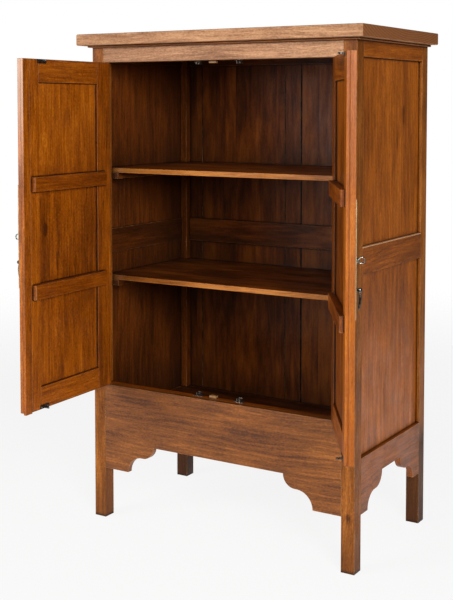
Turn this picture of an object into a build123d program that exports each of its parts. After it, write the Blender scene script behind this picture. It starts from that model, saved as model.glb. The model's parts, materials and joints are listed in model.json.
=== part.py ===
from build123d import *
import os
from math import cos, radians, sin

os.makedirs("parts", exist_ok=True)

# Trastero cabinet. Millimetres. The origin is on the floor, under the middle of the carcass.
# +X is the cabinet's right as one faces it, -Y is the front and +Z is up.

# ---------------------------------------------------------------- driving dimensions
HEIGHT = 1830  # floor to the top of the top board
BODY_WIDTH = 1090  # over the posts
BODY_DEPTH = 608
POST = 50  # square posts
EASE = 1  # eased long edges of the posts

TOP_THICKNESS = 42
TOP_ROUND = 4
SIDE_OVERHANG = 40
FRONT_OVERHANG = 45
MOULDING_HEIGHT = 7
MOULDING_DEPTH = 13

SILL_TOP = 513  # bottom of the door opening
FRIEZE_BOTTOM = 1726  # top of the door opening
APRON_THICKNESS = 22
SILL_THICKNESS = 28
SHELF_THICKNESS = 18
BOTTOM_BOARD_TOP = 383
SHELF_TOPS = {"shelf_lower": 923.5, "shelf_upper": 1330}

RAIL_THICKNESS = 24  # side and back rails
PANEL_THICKNESS = 8
PANEL_RECESS = 13  # side panels behind the outer face of their rails
PANEL_TONGUE = 8  # how deep a panel sits in its grooves
TOP_RAIL_BOTTOM = 1727
MID_RAIL = (1003, 1095)  # bottom and top edge
BACK_RAIL_BOTTOM = 300
BACK_RAIL_FACE = 275  # front face of the back rails, as Y
BACK_BOARD_FACE = 285
BACK_BOARD_REAR = BACK_BOARD_FACE + PANEL_THICKNESS
BACK_SEAMS = ((-435, 1), (-43, 1), (29, 5))  # middle and width of each seam, as X
BACK_LAP = 8  # each back board passes this far behind the next one
BACK_LIP = 3.5  # thickness of its lip there
BACK_FIT = 0.3

TENON_LENGTH = 25
TENON_THICKNESS = 10
TENON_SHOULDER = 8

BEARER_HEIGHT = 22
BEARER_INNER = 467  # bearers reach this far in, as X
PLAY = 1  # loose fit of the shelves

# scalloped lower edges: a tab beside each post, a cove, a short flat, a lobe and a cusp
TAB_BOTTOM = 191
CUSP_BOTTOM = 300
FRONT_CUSP = 273  # distance of the cusp from the middle
FRONT_LOBE = 47
FRONT_COVE = 62
FRONT_FLAT = 6
SIDE_CUSP = 80
SIDE_LOBE = 52
SIDE_COVE = 57
SIDE_FLAT = 11

DOOR_THICKNESS = 28
DOOR_BOTTOM = 518.5
DOOR_TOP = 1724
DOOR_GAP = 1.5  # between hinge stile and post
MEETING_GAP = 2  # between the two doors
STILE = 78
DOOR_RAIL_TOP_HEIGHT = 79
DOOR_RAIL_BOTTOM_HEIGHT = 76
DOOR_PANEL_INSET = 8  # panel behind the inner face of the frame
DOOR_TONGUE = 8
BATTEN_HEIGHT = 50
BATTEN_THICKNESS = 15
BATTEN_EASE = 5  # chamfered ends
BATTEN_ENDS = (37, 457)
BATTEN_MIDDLES = (929, 1298)
LEFT_OPEN = 88  # degrees from closed, as the cabinet stands
RIGHT_OPEN = 121

ASTRAGAL_THICKNESS = 10
ASTRAGAL_LET_IN = 29
ASTRAGAL_PROUD = 5
ASTRAGAL_BOTTOM = 514.5
REBATE_DEPTH = 11  # in the right lock stile, for the astragal
REBATE_WIDTH = 8.5
LOCK_REBATES = {"left": (ASTRAGAL_LET_IN, ASTRAGAL_THICKNESS), "right": (REBATE_WIDTH, REBATE_DEPTH)}

HINGE_HEIGHTS = (668, 1121, 1574)
LEAF_HEIGHT = 76
LEAF_WIDTH = 24
LEAF_THICKNESS = 1.6
LEAF_GAP = 0.2  # between the leaves of a shut hinge
PIN_PROUD = 4.2  # pin axis in front of the door's face
PIN_RADIUS = 2
RUNNING_FIT = 0.05
KNUCKLE_RADIUS = 3.9
KNUCKLES = 2  # lift-off hinges: the frame leaf carries the lower knuckle
KNUCKLE_PLAY = 0.3

PLATE_RADIUS = 175  # half-round face plates
PLATE_MIDDLE = 1123
PLATE_THICKNESS = 3
PLATE_INSET = 1
FITTINGS_FROM_EDGE = 18  # lock eye and pull, from the free edge
EYE_HEIGHT = 1122
EYE_REACH = 18.8  # ring centre in front of the door's face
EYE_RADIUS = 11
EYE_HOLE_RADIUS = 4.2
EYE_THICKNESS = 6
PULL_HEIGHT = 1036
PULL_RADIUS = 4.5  # round end of the clevis and of the tongue
PULL_WIDTH = 9
PULL_PIVOT_REACH = 13.5
PULL_PIN_RADIUS = 1.5
PULL_TONGUE = 3
PULL_SIDE_PLAY = 0.3
PULL_SLOT_DEPTH = 0.8  # behind the tongue
PULL_FLANGE = 1.5
PULL_FLANGE_SIZE = 14
DROP_START = 5.5  # top of the thick part, below the pivot
DROP_LENGTH = 53
DROP_RADIUS = 5
DROP_NECK_RADIUS = 2.2
DROP_THICKNESS = 4.5

STOP_MIDDLE = -32  # as X
STOP_WIDTH = 30
STOP_HEIGHT = 10
STOP_FACE = -275.5  # half a millimetre behind the shut doors
STOP_BACK = -259.5
STRIKE_FROM_HINGE = {"left": 397, "right": 419.5}
STRIKE_WIDTH = 47
STRIKE_HEIGHT = 13
STRIKE_THICKNESS = 1.5
SPEAR_HEIGHT = 6
SPEAR_LENGTH = 20
SPEAR_POINT = 5
SPEAR_NECK = 4
SPEAR_HEAD = 6
CLIP_WIDTH = 44
CLIP_DEPTH = 19
CLIP_BACK = -254
CLIP_STRIP = 1.2
CLIP_HEIGHT = 12
CLIP_HALF_WIDTH = 8.5
CLIP_THROAT = 4.5  # half of the narrowest place between the arms
CLIP_SHOULDER = 9  # back of the clip to where its arms bend in
CLIP_MOUTH = 15.5  # back of the clip to its narrowest place
CLIP_FLARE = 1.5

# ---------------------------------------------------------------- worked out from those
HALF_WIDTH = BODY_WIDTH / 2
HALF_DEPTH = BODY_DEPTH / 2
INNER_X = HALF_WIDTH - POST
INNER_Y = HALF_DEPTH - POST
BODY_TOP = HEIGHT - TOP_THICKNESS
SIDE_RAIL_INNER = HALF_WIDTH - RAIL_THICKNESS
SIDE_PANEL_OUTER = HALF_WIDTH - PANEL_RECESS
SIDE_PANEL_INNER = SIDE_PANEL_OUTER - PANEL_THICKNESS
BOTTOM_BOARD_BOTTOM = BOTTOM_BOARD_TOP - SHELF_THICKNESS

DOOR_WIDTH = INNER_X - DOOR_GAP - MEETING_GAP / 2
PIN_X = INNER_X - DOOR_GAP / 2
PIN_Y = -HALF_DEPTH - PIN_PROUD
KNUCKLE_HEIGHT = (LEAF_HEIGHT - (KNUCKLES - 1) * KNUCKLE_PLAY) / KNUCKLES
LEAF_LET_IN = LEAF_THICKNESS + LEAF_GAP / 2 - DOOR_GAP / 2
FITTINGS_U = DOOR_WIDTH - FITTINGS_FROM_EDGE

# Rails that run along X: middle of the tenon as Y, and its bottom and top.
BACK_TENON = BACK_RAIL_FACE + RAIL_THICKNESS / 2
TOP_TENON = (TOP_RAIL_BOTTOM + TENON_SHOULDER, BODY_TOP - TENON_SHOULDER)
MID_TENON = (MID_RAIL[0] + TENON_SHOULDER, MID_RAIL[1] - TENON_SHOULDER)
FRONT_TENONS = {
    "front_frieze_rail": (-HALF_DEPTH + POST / 2, *TOP_TENON),
    "front_apron": (-HALF_DEPTH + APRON_THICKNESS / 2, TAB_BOTTOM + 40, SILL_TOP - 20),
}
BACK_TENONS = {
    "back_top_rail": (BACK_TENON, *TOP_TENON),
    "back_mid_rail": (BACK_TENON, *MID_TENON),
    "back_bottom_rail": (BACK_TENON, BACK_RAIL_BOTTOM + TENON_SHOULDER, BOTTOM_BOARD_TOP - TENON_SHOULDER),
}
# Side rails run along Y: bottom and top of the tenon.
SIDE_TENONS = {
    "side_top_rail": TOP_TENON,
    "side_mid_rail": MID_TENON,
    "side_apron": (TAB_BOTTOM + 25, BOTTOM_BOARD_TOP - TENON_SHOULDER * 2),
}
SIDES = (("left", -1), ("right", 1))


def block(x0, x1, y0, y1, z0, z1, mode=Mode.ADD):
    """A square block between two opposite corners, on the plane of the part in hand."""
    with Locations(((x0 + x1) / 2, (y0 + y1) / 2, (z0 + z1) / 2)):
        Box(abs(x1 - x0), abs(y1 - y0), abs(z1 - z0), mode=mode)


def x_tenons(y, z0, z1, mode=Mode.ADD):
    """The tenons at both ends of a rail that runs along X, or the mortises for them."""
    for end in (-1, 1):
        block(
            end * INNER_X,
            end * (INNER_X + TENON_LENGTH),
            y - TENON_THICKNESS / 2,
            y + TENON_THICKNESS / 2,
            z0,
            z1,
            mode,
        )


def y_tenons(x, z0, z1, mode=Mode.ADD):
    """The tenons at both ends of a rail that runs along Y, or the mortises for them."""
    for end in (-1, 1):
        block(
            x - TENON_THICKNESS / 2,
            x + TENON_THICKNESS / 2,
            end * INNER_Y,
            end * (INNER_Y + TENON_LENGTH),
            z0,
            z1,
            mode,
        )


def scalloped_face(plane, half_length, top, cusp, lobe, cove, flat):
    """Face of an apron: straight on top, with a scalloped bracket at each end below."""
    lobe_middle = cusp + lobe
    cove_middle = lobe_middle + flat
    with BuildSketch(plane) as face:
        with BuildLine():
            outline = Polyline(
                (0, CUSP_BOTTOM),
                (0, top),
                (half_length, top),
                (half_length, TAB_BOTTOM),
                (cove_middle + cove, TAB_BOTTOM),
            )
            CenterArc((cove_middle, TAB_BOTTOM), cove, 0, 90)
            Line((cove_middle, TAB_BOTTOM + cove), (lobe_middle, CUSP_BOTTOM - lobe))
            CenterArc((lobe_middle, CUSP_BOTTOM), lobe, 180, 90)
            Line((cusp, CUSP_BOTTOM), outline @ 0)
        make_face()
        mirror(about=Plane.YZ)
    return face.sketch


# ---------------------------------------------------------------- posts
def post(side_sign, depth_sign):
    """One square post with its mortises, panel grooves and, in front, its hinge recesses."""
    with BuildPart() as piece:
        with BuildSketch():
            with Locations((side_sign * (HALF_WIDTH - POST / 2), depth_sign * (HALF_DEPTH - POST / 2))):
                Rectangle(POST, POST)
        extrude(amount=BODY_TOP)
        chamfer(piece.edges().filter_by(Axis.Z), EASE)
        for y, z0, z1 in (FRONT_TENONS if depth_sign < 0 else BACK_TENONS).values():
            x_tenons(y, z0, z1, Mode.SUBTRACT)
        for z0, z1 in SIDE_TENONS.values():
            y_tenons(side_sign * (HALF_WIDTH - RAIL_THICKNESS / 2), z0, z1, Mode.SUBTRACT)
        groove_z = (BOTTOM_BOARD_TOP - PANEL_TONGUE, TOP_RAIL_BOTTOM + PANEL_TONGUE)
        block(
            side_sign * SIDE_PANEL_INNER,
            side_sign * SIDE_PANEL_OUTER,
            depth_sign * INNER_Y,
            depth_sign * (INNER_Y + PANEL_TONGUE),
            *groove_z,
            Mode.SUBTRACT,
        )
        if depth_sign > 0:
            block(
                side_sign * INNER_X,
                side_sign * (INNER_X + PANEL_TONGUE),
                BACK_BOARD_FACE,
                BACK_BOARD_REAR,
                *groove_z,
                Mode.SUBTRACT,
            )
        else:
            for height in HINGE_HEIGHTS:
                block(
                    side_sign * INNER_X,
                    side_sign * (INNER_X + LEAF_LET_IN),
                    -HALF_DEPTH,
                    -HALF_DEPTH + LEAF_WIDTH,
                    height - LEAF_HEIGHT / 2,
                    height + LEAF_HEIGHT / 2,
                    Mode.SUBTRACT,
                )
    return piece


for side, side_sign in SIDES:
    for depth, depth_sign in (("front", -1), ("rear", 1)):
        corner_post = post(side_sign, depth_sign)
        corner_post.part.label = f"post_{depth}_{side}"
        export_step(corner_post.part, f"parts/post_{depth}_{side}.step")

# ---------------------------------------------------------------- front rails
with BuildPart() as frieze:
    block(-INNER_X, INNER_X, -HALF_DEPTH, -INNER_Y, FRIEZE_BOTTOM, BODY_TOP)
    x_tenons(*FRONT_TENONS["front_frieze_rail"])
frieze.part.label = "front_frieze_rail"
export_step(frieze.part, "parts/front_frieze_rail.step")

with BuildPart() as front_apron:
    front = Plane.XZ.offset(HALF_DEPTH)
    extrude(
        scalloped_face(front, INNER_X, SILL_TOP, FRONT_CUSP, FRONT_LOBE, FRONT_COVE, FRONT_FLAT),
        amount=-APRON_THICKNESS,
    )
    x_tenons(*FRONT_TENONS["front_apron"])
front_apron.part.label = "front_apron"
export_step(front_apron.part, "parts/front_apron.step")

with BuildPart() as sill:
    block(-INNER_X, INNER_X, -HALF_DEPTH + APRON_THICKNESS, -INNER_Y, SILL_TOP - SILL_THICKNESS, SILL_TOP)
sill.part.label = "front_sill"
export_step(sill.part, "parts/front_sill.step")


# ---------------------------------------------------------------- side rails and panels
def groove(side_sign, z0, z1):
    """The groove along a side rail's edge that holds the panel's tongue."""
    block(
        side_sign * SIDE_PANEL_INNER,
        side_sign * SIDE_PANEL_OUTER,
        -INNER_Y,
        INNER_Y,
        z0,
        z1,
        Mode.SUBTRACT,
    )


def side_rail(side_sign, name, z0, z1, groove_below, groove_above):
    """A straight side rail between the posts, flush with their outer faces."""
    with BuildPart() as piece:
        block(side_sign * SIDE_RAIL_INNER, side_sign * HALF_WIDTH, -INNER_Y, INNER_Y, z0, z1)
        y_tenons(side_sign * (HALF_WIDTH - RAIL_THICKNESS / 2), *SIDE_TENONS[name])
        if groove_below:
            groove(side_sign, z0, z0 + PANEL_TONGUE)
        if groove_above:
            groove(side_sign, z1 - PANEL_TONGUE, z1)
    return piece


for side, side_sign in SIDES:
    top_rail = side_rail(side_sign, "side_top_rail", TOP_RAIL_BOTTOM, BODY_TOP, True, False)
    top_rail.part.label = f"side_top_rail_{side}"
    export_step(top_rail.part, f"parts/side_top_rail_{side}.step")

    mid_rail = side_rail(side_sign, "side_mid_rail", *MID_RAIL, True, True)
    mid_rail.part.label = f"side_mid_rail_{side}"
    export_step(mid_rail.part, f"parts/side_mid_rail_{side}.step")

    with BuildPart() as side_apron:
        flank = Plane.YZ.offset(side_sign * HALF_WIDTH)
        extrude(
            scalloped_face(flank, INNER_Y, BOTTOM_BOARD_TOP, SIDE_CUSP, SIDE_LOBE, SIDE_COVE, SIDE_FLAT),
            amount=-side_sign * RAIL_THICKNESS,
        )
        y_tenons(side_sign * (HALF_WIDTH - RAIL_THICKNESS / 2), *SIDE_TENONS["side_apron"])
        groove(side_sign, BOTTOM_BOARD_TOP - PANEL_TONGUE, BOTTOM_BOARD_TOP)
    side_apron.part.label = f"side_apron_{side}"
    export_step(side_apron.part, f"parts/side_apron_{side}.step")

    for field, z0, z1 in (("lower", BOTTOM_BOARD_TOP, MID_RAIL[0]), ("upper", MID_RAIL[1], TOP_RAIL_BOTTOM)):
        with BuildPart() as side_panel:
            block(
                side_sign * SIDE_PANEL_INNER,
                side_sign * SIDE_PANEL_OUTER,
                -INNER_Y - PANEL_TONGUE,
                INNER_Y + PANEL_TONGUE,
                z0 - PANEL_TONGUE,
                z1 + PANEL_TONGUE,
            )
        side_panel.part.label = f"side_panel_{field}_{side}"
        export_step(side_panel.part, f"parts/side_panel_{field}_{side}.step")

# ---------------------------------------------------------------- back rails and boards
BACK_RAILS = {
    "back_top_rail": (TOP_RAIL_BOTTOM, BODY_TOP, (TOP_RAIL_BOTTOM,)),
    "back_mid_rail": (*MID_RAIL, (MID_RAIL[0], MID_RAIL[1] - PANEL_TONGUE)),
    "back_bottom_rail": (BACK_RAIL_BOTTOM, BOTTOM_BOARD_TOP, (BOTTOM_BOARD_TOP - PANEL_TONGUE,)),
}
for name, (z0, z1, grooves) in BACK_RAILS.items():
    with BuildPart() as back_rail:
        block(-INNER_X, INNER_X, BACK_RAIL_FACE, BACK_RAIL_FACE + RAIL_THICKNESS, z0, z1)
        x_tenons(*BACK_TENONS[name])
        for groove_z in grooves:
            block(
                -INNER_X,
                INNER_X,
                BACK_BOARD_FACE,
                BACK_BOARD_REAR,
                groove_z,
                groove_z + PANEL_TONGUE,
                Mode.SUBTRACT,
            )
    back_rail.part.label = name
    export_step(back_rail.part, f"parts/{name}.step")

with BuildPart() as back_boards:
    for z0, z1 in ((BOTTOM_BOARD_TOP, MID_RAIL[0]), (MID_RAIL[1], TOP_RAIL_BOTTOM)):
        ends = (z0 - PANEL_TONGUE, z1 + PANEL_TONGUE)
        left_edge = -INNER_X - PANEL_TONGUE
        lip_face = BACK_BOARD_REAR - BACK_LIP
        for seam, width in BACK_SEAMS:
            near, far = seam - width / 2, seam + width / 2
            lap_end = far + BACK_LAP + BACK_FIT
            block(left_edge, near, BACK_BOARD_FACE, BACK_BOARD_REAR, *ends)
            block(near, far + BACK_LAP, lip_face, BACK_BOARD_REAR, *ends)
            block(far, lap_end, BACK_BOARD_FACE, lip_face - BACK_FIT, *ends)
            left_edge = lap_end
        block(left_edge, INNER_X + PANEL_TONGUE, BACK_BOARD_FACE, BACK_BOARD_REAR, *ends)
back_boards.part.label = "back_boards"
export_step(back_boards.part, "parts/back_boards.step")

# ---------------------------------------------------------------- top
with BuildPart() as top_board:
    block(
        -HALF_WIDTH - SIDE_OVERHANG,
        HALF_WIDTH + SIDE_OVERHANG,
        -HALF_DEPTH - FRONT_OVERHANG,
        HALF_DEPTH,
        BODY_TOP,
        HEIGHT,
    )
    rounded_sides = top_board.faces().sort_by(Axis.Y)[:-1].filter_by(Axis.Z, reverse=True)
    fillet(rounded_sides.edges().filter_by(Axis.Z, reverse=True), TOP_ROUND)
top_board.part.label = "top_board"
export_step(top_board.part, "parts/top_board.step")

# The moulding runs round the front and the sides, mitred at the corners, with a round nose.
NOSE_RADIUS = MOULDING_HEIGHT / 2
with BuildPart() as top_moulding:
    with BuildLine() as moulding_path:
        Polyline(
            (-HALF_WIDTH, HALF_DEPTH, BODY_TOP - NOSE_RADIUS),
            (-HALF_WIDTH, -HALF_DEPTH, BODY_TOP - NOSE_RADIUS),
            (HALF_WIDTH, -HALF_DEPTH, BODY_TOP - NOSE_RADIUS),
            (HALF_WIDTH, HALF_DEPTH, BODY_TOP - NOSE_RADIUS),
        )
    with BuildSketch(Plane(origin=moulding_path.line @ 0, x_dir=(-1, 0, 0), z_dir=(0, -1, 0))):
        with BuildLine():
            Polyline(
                (MOULDING_DEPTH - NOSE_RADIUS, -NOSE_RADIUS),
                (0, -NOSE_RADIUS),
                (0, NOSE_RADIUS),
                (MOULDING_DEPTH - NOSE_RADIUS, NOSE_RADIUS),
            )
            CenterArc((MOULDING_DEPTH - NOSE_RADIUS, 0), NOSE_RADIUS, -90, 180)
        make_face()
    sweep(path=moulding_path.wires()[0], transition=Transition.RIGHT)
top_moulding.part.label = "top_moulding"
export_step(top_moulding.part, "parts/top_moulding.step")

# ---------------------------------------------------------------- bottom board, shelves, bearers
with BuildPart() as bottom_board:
    block(
        -SIDE_RAIL_INNER,
        SIDE_RAIL_INNER,
        -HALF_DEPTH + APRON_THICKNESS,
        BACK_RAIL_FACE,
        BOTTOM_BOARD_BOTTOM,
        BOTTOM_BOARD_TOP,
    )
    for _, side_sign in SIDES:
        for depth_sign in (-1, 1):
            block(
                side_sign * INNER_X,
                side_sign * HALF_WIDTH,
                depth_sign * INNER_Y,
                depth_sign * HALF_DEPTH,
                BOTTOM_BOARD_BOTTOM,
                BOTTOM_BOARD_TOP,
                Mode.SUBTRACT,
            )
bottom_board.part.label = "bottom_board"
export_step(bottom_board.part, "parts/bottom_board.step")

for name, shelf_top in SHELF_TOPS.items():
    with BuildPart() as shelf:
        shelf_bottom = shelf_top - SHELF_THICKNESS
        reach = SIDE_PANEL_INNER - PLAY
        block(-reach, reach, -INNER_Y + 2 * PLAY, BACK_BOARD_FACE - PLAY, shelf_bottom, shelf_top)
        for _, side_sign in SIDES:
            block(
                side_sign * (INNER_X - PLAY),
                side_sign * HALF_WIDTH,
                INNER_Y - PLAY,
                HALF_DEPTH,
                shelf_bottom,
                shelf_top,
                Mode.SUBTRACT,
            )
    shelf.part.label = name
    export_step(shelf.part, f"parts/{name}.step")

with BuildPart() as bearers:
    for _, side_sign in SIDES:
        for shelf_top in SHELF_TOPS.values():
            block(
                side_sign * BEARER_INNER,
                side_sign * SIDE_PANEL_INNER,
                -INNER_Y,
                INNER_Y,
                shelf_top - SHELF_THICKNESS - BEARER_HEIGHT,
                shelf_top - SHELF_THICKNESS,
            )
        block(
            side_sign * BEARER_INNER,
            side_sign * SIDE_RAIL_INNER,
            -INNER_Y,
            INNER_Y,
            BOTTOM_BOARD_BOTTOM - BEARER_HEIGHT,
            BOTTOM_BOARD_BOTTOM,
        )
bearers.part.label = "shelf_cleats"
export_step(bearers.part, "parts/shelf_cleats.step")

# ---------------------------------------------------------------- stop blocks and catch clips
with BuildPart() as stop_blocks:
    for z0, z1 in ((SILL_TOP, SILL_TOP + STOP_HEIGHT), (FRIEZE_BOTTOM - STOP_HEIGHT, FRIEZE_BOTTOM)):
        block(
            STOP_MIDDLE - STOP_WIDTH / 2,
            STOP_MIDDLE + STOP_WIDTH / 2,
            STOP_FACE,
            STOP_BACK,
            z0,
            z1,
        )
    chamfer(stop_blocks.edges().filter_by(Axis.Z), 2)
stop_blocks.part.label = "stop_blocks"
export_step(stop_blocks.part, "parts/stop_blocks.step")


def clip_profile():
    """Plan of a spring clip, open to the front: a back and two arms, bent in and then out again."""
    arm_x = CLIP_HALF_WIDTH - CLIP_STRIP / 2
    throat_x = CLIP_THROAT + CLIP_STRIP / 2
    with Locations((0, -CLIP_STRIP / 2)):
        Rectangle(2 * CLIP_HALF_WIDTH, CLIP_STRIP)
    for side_sign in (-1, 1):
        arm = (
            (side_sign * arm_x, 0),
            (side_sign * arm_x, -CLIP_SHOULDER),
            (side_sign * throat_x, -CLIP_MOUTH),
            (side_sign * (throat_x + CLIP_FLARE), -CLIP_DEPTH),
        )
        one_face = [(x - CLIP_STRIP / 2, y) for x, y in arm]
        other_face = [(x + CLIP_STRIP / 2, y) for x, y in reversed(arm)]
        Polygon(*one_face, *other_face, align=None)


def door_sign(side):
    """+1 for the left door, whose width runs towards +X when shut, and -1 for the right."""
    return 1 if side == "left" else -1


def strike_x(side):
    """Where a door's strikes meet their clips, as X."""
    return -door_sign(side) * (INNER_X - DOOR_GAP - STRIKE_FROM_HINGE[side])


for name, plate_side, direction in (("top", FRIEZE_BOTTOM, -1), ("bottom", SILL_TOP, 1)):
    with BuildPart() as clips:
        for side, _ in SIDES:
            block(
                strike_x(side) - CLIP_WIDTH / 2,
                strike_x(side) + CLIP_WIDTH / 2,
                CLIP_BACK - CLIP_DEPTH,
                CLIP_BACK,
                plate_side,
                plate_side + direction * CLIP_STRIP,
            )
            clip_plane = Plane(origin=(strike_x(side), CLIP_BACK, plate_side + direction * CLIP_STRIP))
            with BuildSketch(clip_plane):
                clip_profile()
            extrude(amount=direction * CLIP_HEIGHT)
    clips.part.label = f"catch_clips_{name}"
    export_step(clips.part, f"parts/catch_clips_{name}.step")


# ---------------------------------------------------------------- hinges
def pin_plane(side, opened):
    """Plane on a door's pin axis: X along the door's width, Y into the cabinet, Z up."""
    sign = door_sign(side)
    turn = radians(opened)
    return Plane(origin=(-sign * PIN_X, PIN_Y, 0), x_dir=(cos(turn), -sign * sin(turn), 0), z_dir=(0, 0, 1))


def hinge_leaf(toward, height, knuckles, bore):
    """One leaf, on the pin axis: the plate and every second knuckle, bored for the pin."""
    plate_middle = toward * (LEAF_GAP + LEAF_THICKNESS) / 2
    with Locations((plate_middle, PIN_PROUD + LEAF_WIDTH / 2, height)):
        Box(LEAF_THICKNESS, LEAF_WIDTH, LEAF_HEIGHT)
    for number in knuckles:
        middle = height - LEAF_HEIGHT / 2 + KNUCKLE_HEIGHT / 2 + number * (KNUCKLE_HEIGHT + KNUCKLE_PLAY)
        with Locations((plate_middle, PIN_PROUD / 2, middle)):
            Box(LEAF_THICKNESS, PIN_PROUD, KNUCKLE_HEIGHT)
        with Locations((0, 0, middle)):
            Cylinder(KNUCKLE_RADIUS, KNUCKLE_HEIGHT)
            Cylinder(bore, KNUCKLE_HEIGHT, mode=Mode.SUBTRACT)


FRAME_KNUCKLES = range(0, KNUCKLES, 2)
DOOR_KNUCKLES = range(1, KNUCKLES, 2)

with BuildPart() as frame_leaves:
    for side, _ in SIDES:
        with Locations(pin_plane(side, 0)):
            for height in HINGE_HEIGHTS:
                hinge_leaf(-door_sign(side), height, FRAME_KNUCKLES, PIN_RADIUS)
frame_leaves.part.label = "hinge_frame_leaves"
export_step(frame_leaves.part, "parts/hinge_frame_leaves.step")

with BuildPart() as hinge_pins:
    for side, _ in SIDES:
        with Locations(pin_plane(side, 0)):
            for height in HINGE_HEIGHTS:
                with Locations((0, 0, height)):
                    Cylinder(PIN_RADIUS, LEAF_HEIGHT)
hinge_pins.part.label = "hinge_pins"
export_step(hinge_pins.part, "parts/hinge_pins.step")


# ---------------------------------------------------------------- doors
def door_plane(side, opened):
    """Plane on the outer corner of the hinge stile: X along the width, Y into the cabinet."""
    plane = pin_plane(side, opened)
    plane.origin = plane.from_local_coords((door_sign(side) * DOOR_GAP / 2, PIN_PROUD, 0))
    return plane


def face_plane(side, opened):
    """Plane on the door's outer face: X along the width, Y up and Z outwards."""
    inward = door_plane(side, opened)
    return Plane(origin=inward.origin, x_dir=inward.x_dir, z_dir=-inward.y_dir)


PANEL_INNER = DOOR_THICKNESS - DOOR_PANEL_INSET
GROOVE_OUTER = (DOOR_THICKNESS - PANEL_THICKNESS) / 2
GROOVE_INNER = GROOVE_OUTER + PANEL_THICKNESS
RAIL_LOW_TOP = DOOR_BOTTOM + DOOR_RAIL_BOTTOM_HEIGHT
RAIL_HIGH_BOTTOM = DOOR_TOP - DOOR_RAIL_TOP_HEIGHT
DOOR_RAILS = {
    "bottom_rail": (DOOR_BOTTOM, RAIL_LOW_TOP),
    "top_rail": (RAIL_HIGH_BOTTOM, DOOR_TOP),
}


def door_tenons(sign, z0, z1, mode=Mode.ADD):
    """The tenons of a door rail, or the mortises for them, in line with the panel's groove."""
    for u0, u1 in ((STILE - TENON_LENGTH, STILE), (DOOR_WIDTH - STILE, DOOR_WIDTH - STILE + TENON_LENGTH)):
        block(
            sign * u0,
            sign * u1,
            GROOVE_OUTER,
            GROOVE_INNER,
            z0 + TENON_SHOULDER,
            z1 - TENON_SHOULDER,
            mode,
        )


def stile(side, opened, u0, u1, groove_u, recesses):
    """A door stile with its mortises, the groove for the panel and any other recesses."""
    sign = door_sign(side)
    with BuildPart(door_plane(side, opened)) as piece:
        block(sign * u0, sign * u1, 0, DOOR_THICKNESS, DOOR_BOTTOM, DOOR_TOP)
        for z0, z1 in DOOR_RAILS.values():
            door_tenons(sign, z0, z1, Mode.SUBTRACT)
        block(
            sign * groove_u,
            sign * (groove_u + DOOR_TONGUE),
            GROOVE_OUTER,
            GROOVE_INNER,
            RAIL_LOW_TOP - DOOR_TONGUE,
            RAIL_HIGH_BOTTOM + DOOR_TONGUE,
            Mode.SUBTRACT,
        )
        for u0, u1, v0, v1, z0, z1 in recesses:
            block(sign * u0, sign * u1, v0, v1, z0, z1, Mode.SUBTRACT)
    return piece


def batten(plane, sign, middle):
    """A batten across the door: it lies on the stiles and is stepped down to the panel."""
    outer, inner = BATTEN_ENDS
    with BuildSketch(plane.offset(middle - BATTEN_HEIGHT / 2)) as outline:
        with BuildLine():
            Polyline(
                (sign * outer, DOOR_THICKNESS),
                (sign * outer, DOOR_THICKNESS + BATTEN_THICKNESS - BATTEN_EASE),
                (sign * (outer + BATTEN_EASE), DOOR_THICKNESS + BATTEN_THICKNESS),
                (sign * (inner - BATTEN_EASE), DOOR_THICKNESS + BATTEN_THICKNESS),
                (sign * inner, DOOR_THICKNESS + BATTEN_THICKNESS - BATTEN_EASE),
                (sign * inner, DOOR_THICKNESS),
                (sign * (DOOR_WIDTH - STILE), DOOR_THICKNESS),
                (sign * (DOOR_WIDTH - STILE), PANEL_INNER),
                (sign * STILE, PANEL_INNER),
                (sign * STILE, DOOR_THICKNESS),
                close=True,
            )
        make_face()
    extrude(outline.sketch, amount=BATTEN_HEIGHT)


def strike(plane, middle_u, plate_z, spear_z):
    """A strike on the inner face: a base plate and a spear that enters the clip."""
    block(
        middle_u - STRIKE_WIDTH / 2,
        middle_u + STRIKE_WIDTH / 2,
        DOOR_THICKNESS,
        DOOR_THICKNESS + STRIKE_THICKNESS,
        plate_z - STRIKE_HEIGHT / 2,
        plate_z + STRIKE_HEIGHT / 2,
    )
    half_outline = [
        (SPEAR_NECK / 2, 0),
        (SPEAR_NECK / 2, SPEAR_LENGTH - SPEAR_POINT - 1),
        (SPEAR_HEAD / 2, SPEAR_LENGTH - SPEAR_POINT),
    ]
    with BuildSketch(plane.offset(spear_z - SPEAR_HEIGHT / 2)) as spear:
        with Locations((middle_u, DOOR_THICKNESS)):
            Polygon(
                *half_outline,
                (0, SPEAR_LENGTH),
                *[(-x, y) for x, y in reversed(half_outline)],
                align=None,
            )
    extrude(spear.sketch, amount=SPEAR_HEIGHT)


def fitting_plane(face, sign, height, reach):
    """Plane across a fitting on the outer face: X outwards, Y up and Z along the door's width."""
    return Plane(
        origin=face.from_local_coords((sign * FITTINGS_U, height, reach)),
        x_dir=face.z_dir,
        z_dir=face.x_dir * -1,
    )


def lock_eye(face, sign):
    """A ring for a padlock on a flat stem, its hole along the door's width."""
    stem = EYE_REACH - PLATE_THICKNESS
    eye_plane = fitting_plane(face, sign, EYE_HEIGHT, EYE_REACH)
    with BuildSketch(eye_plane.offset(-EYE_THICKNESS / 2)) as outline:
        Circle(EYE_RADIUS)
        with Locations((-stem / 2, 0)):
            Rectangle(stem, EYE_THICKNESS)
        Circle(EYE_HOLE_RADIUS, mode=Mode.SUBTRACT)
    extrude(outline.sketch, amount=EYE_THICKNESS)


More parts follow.
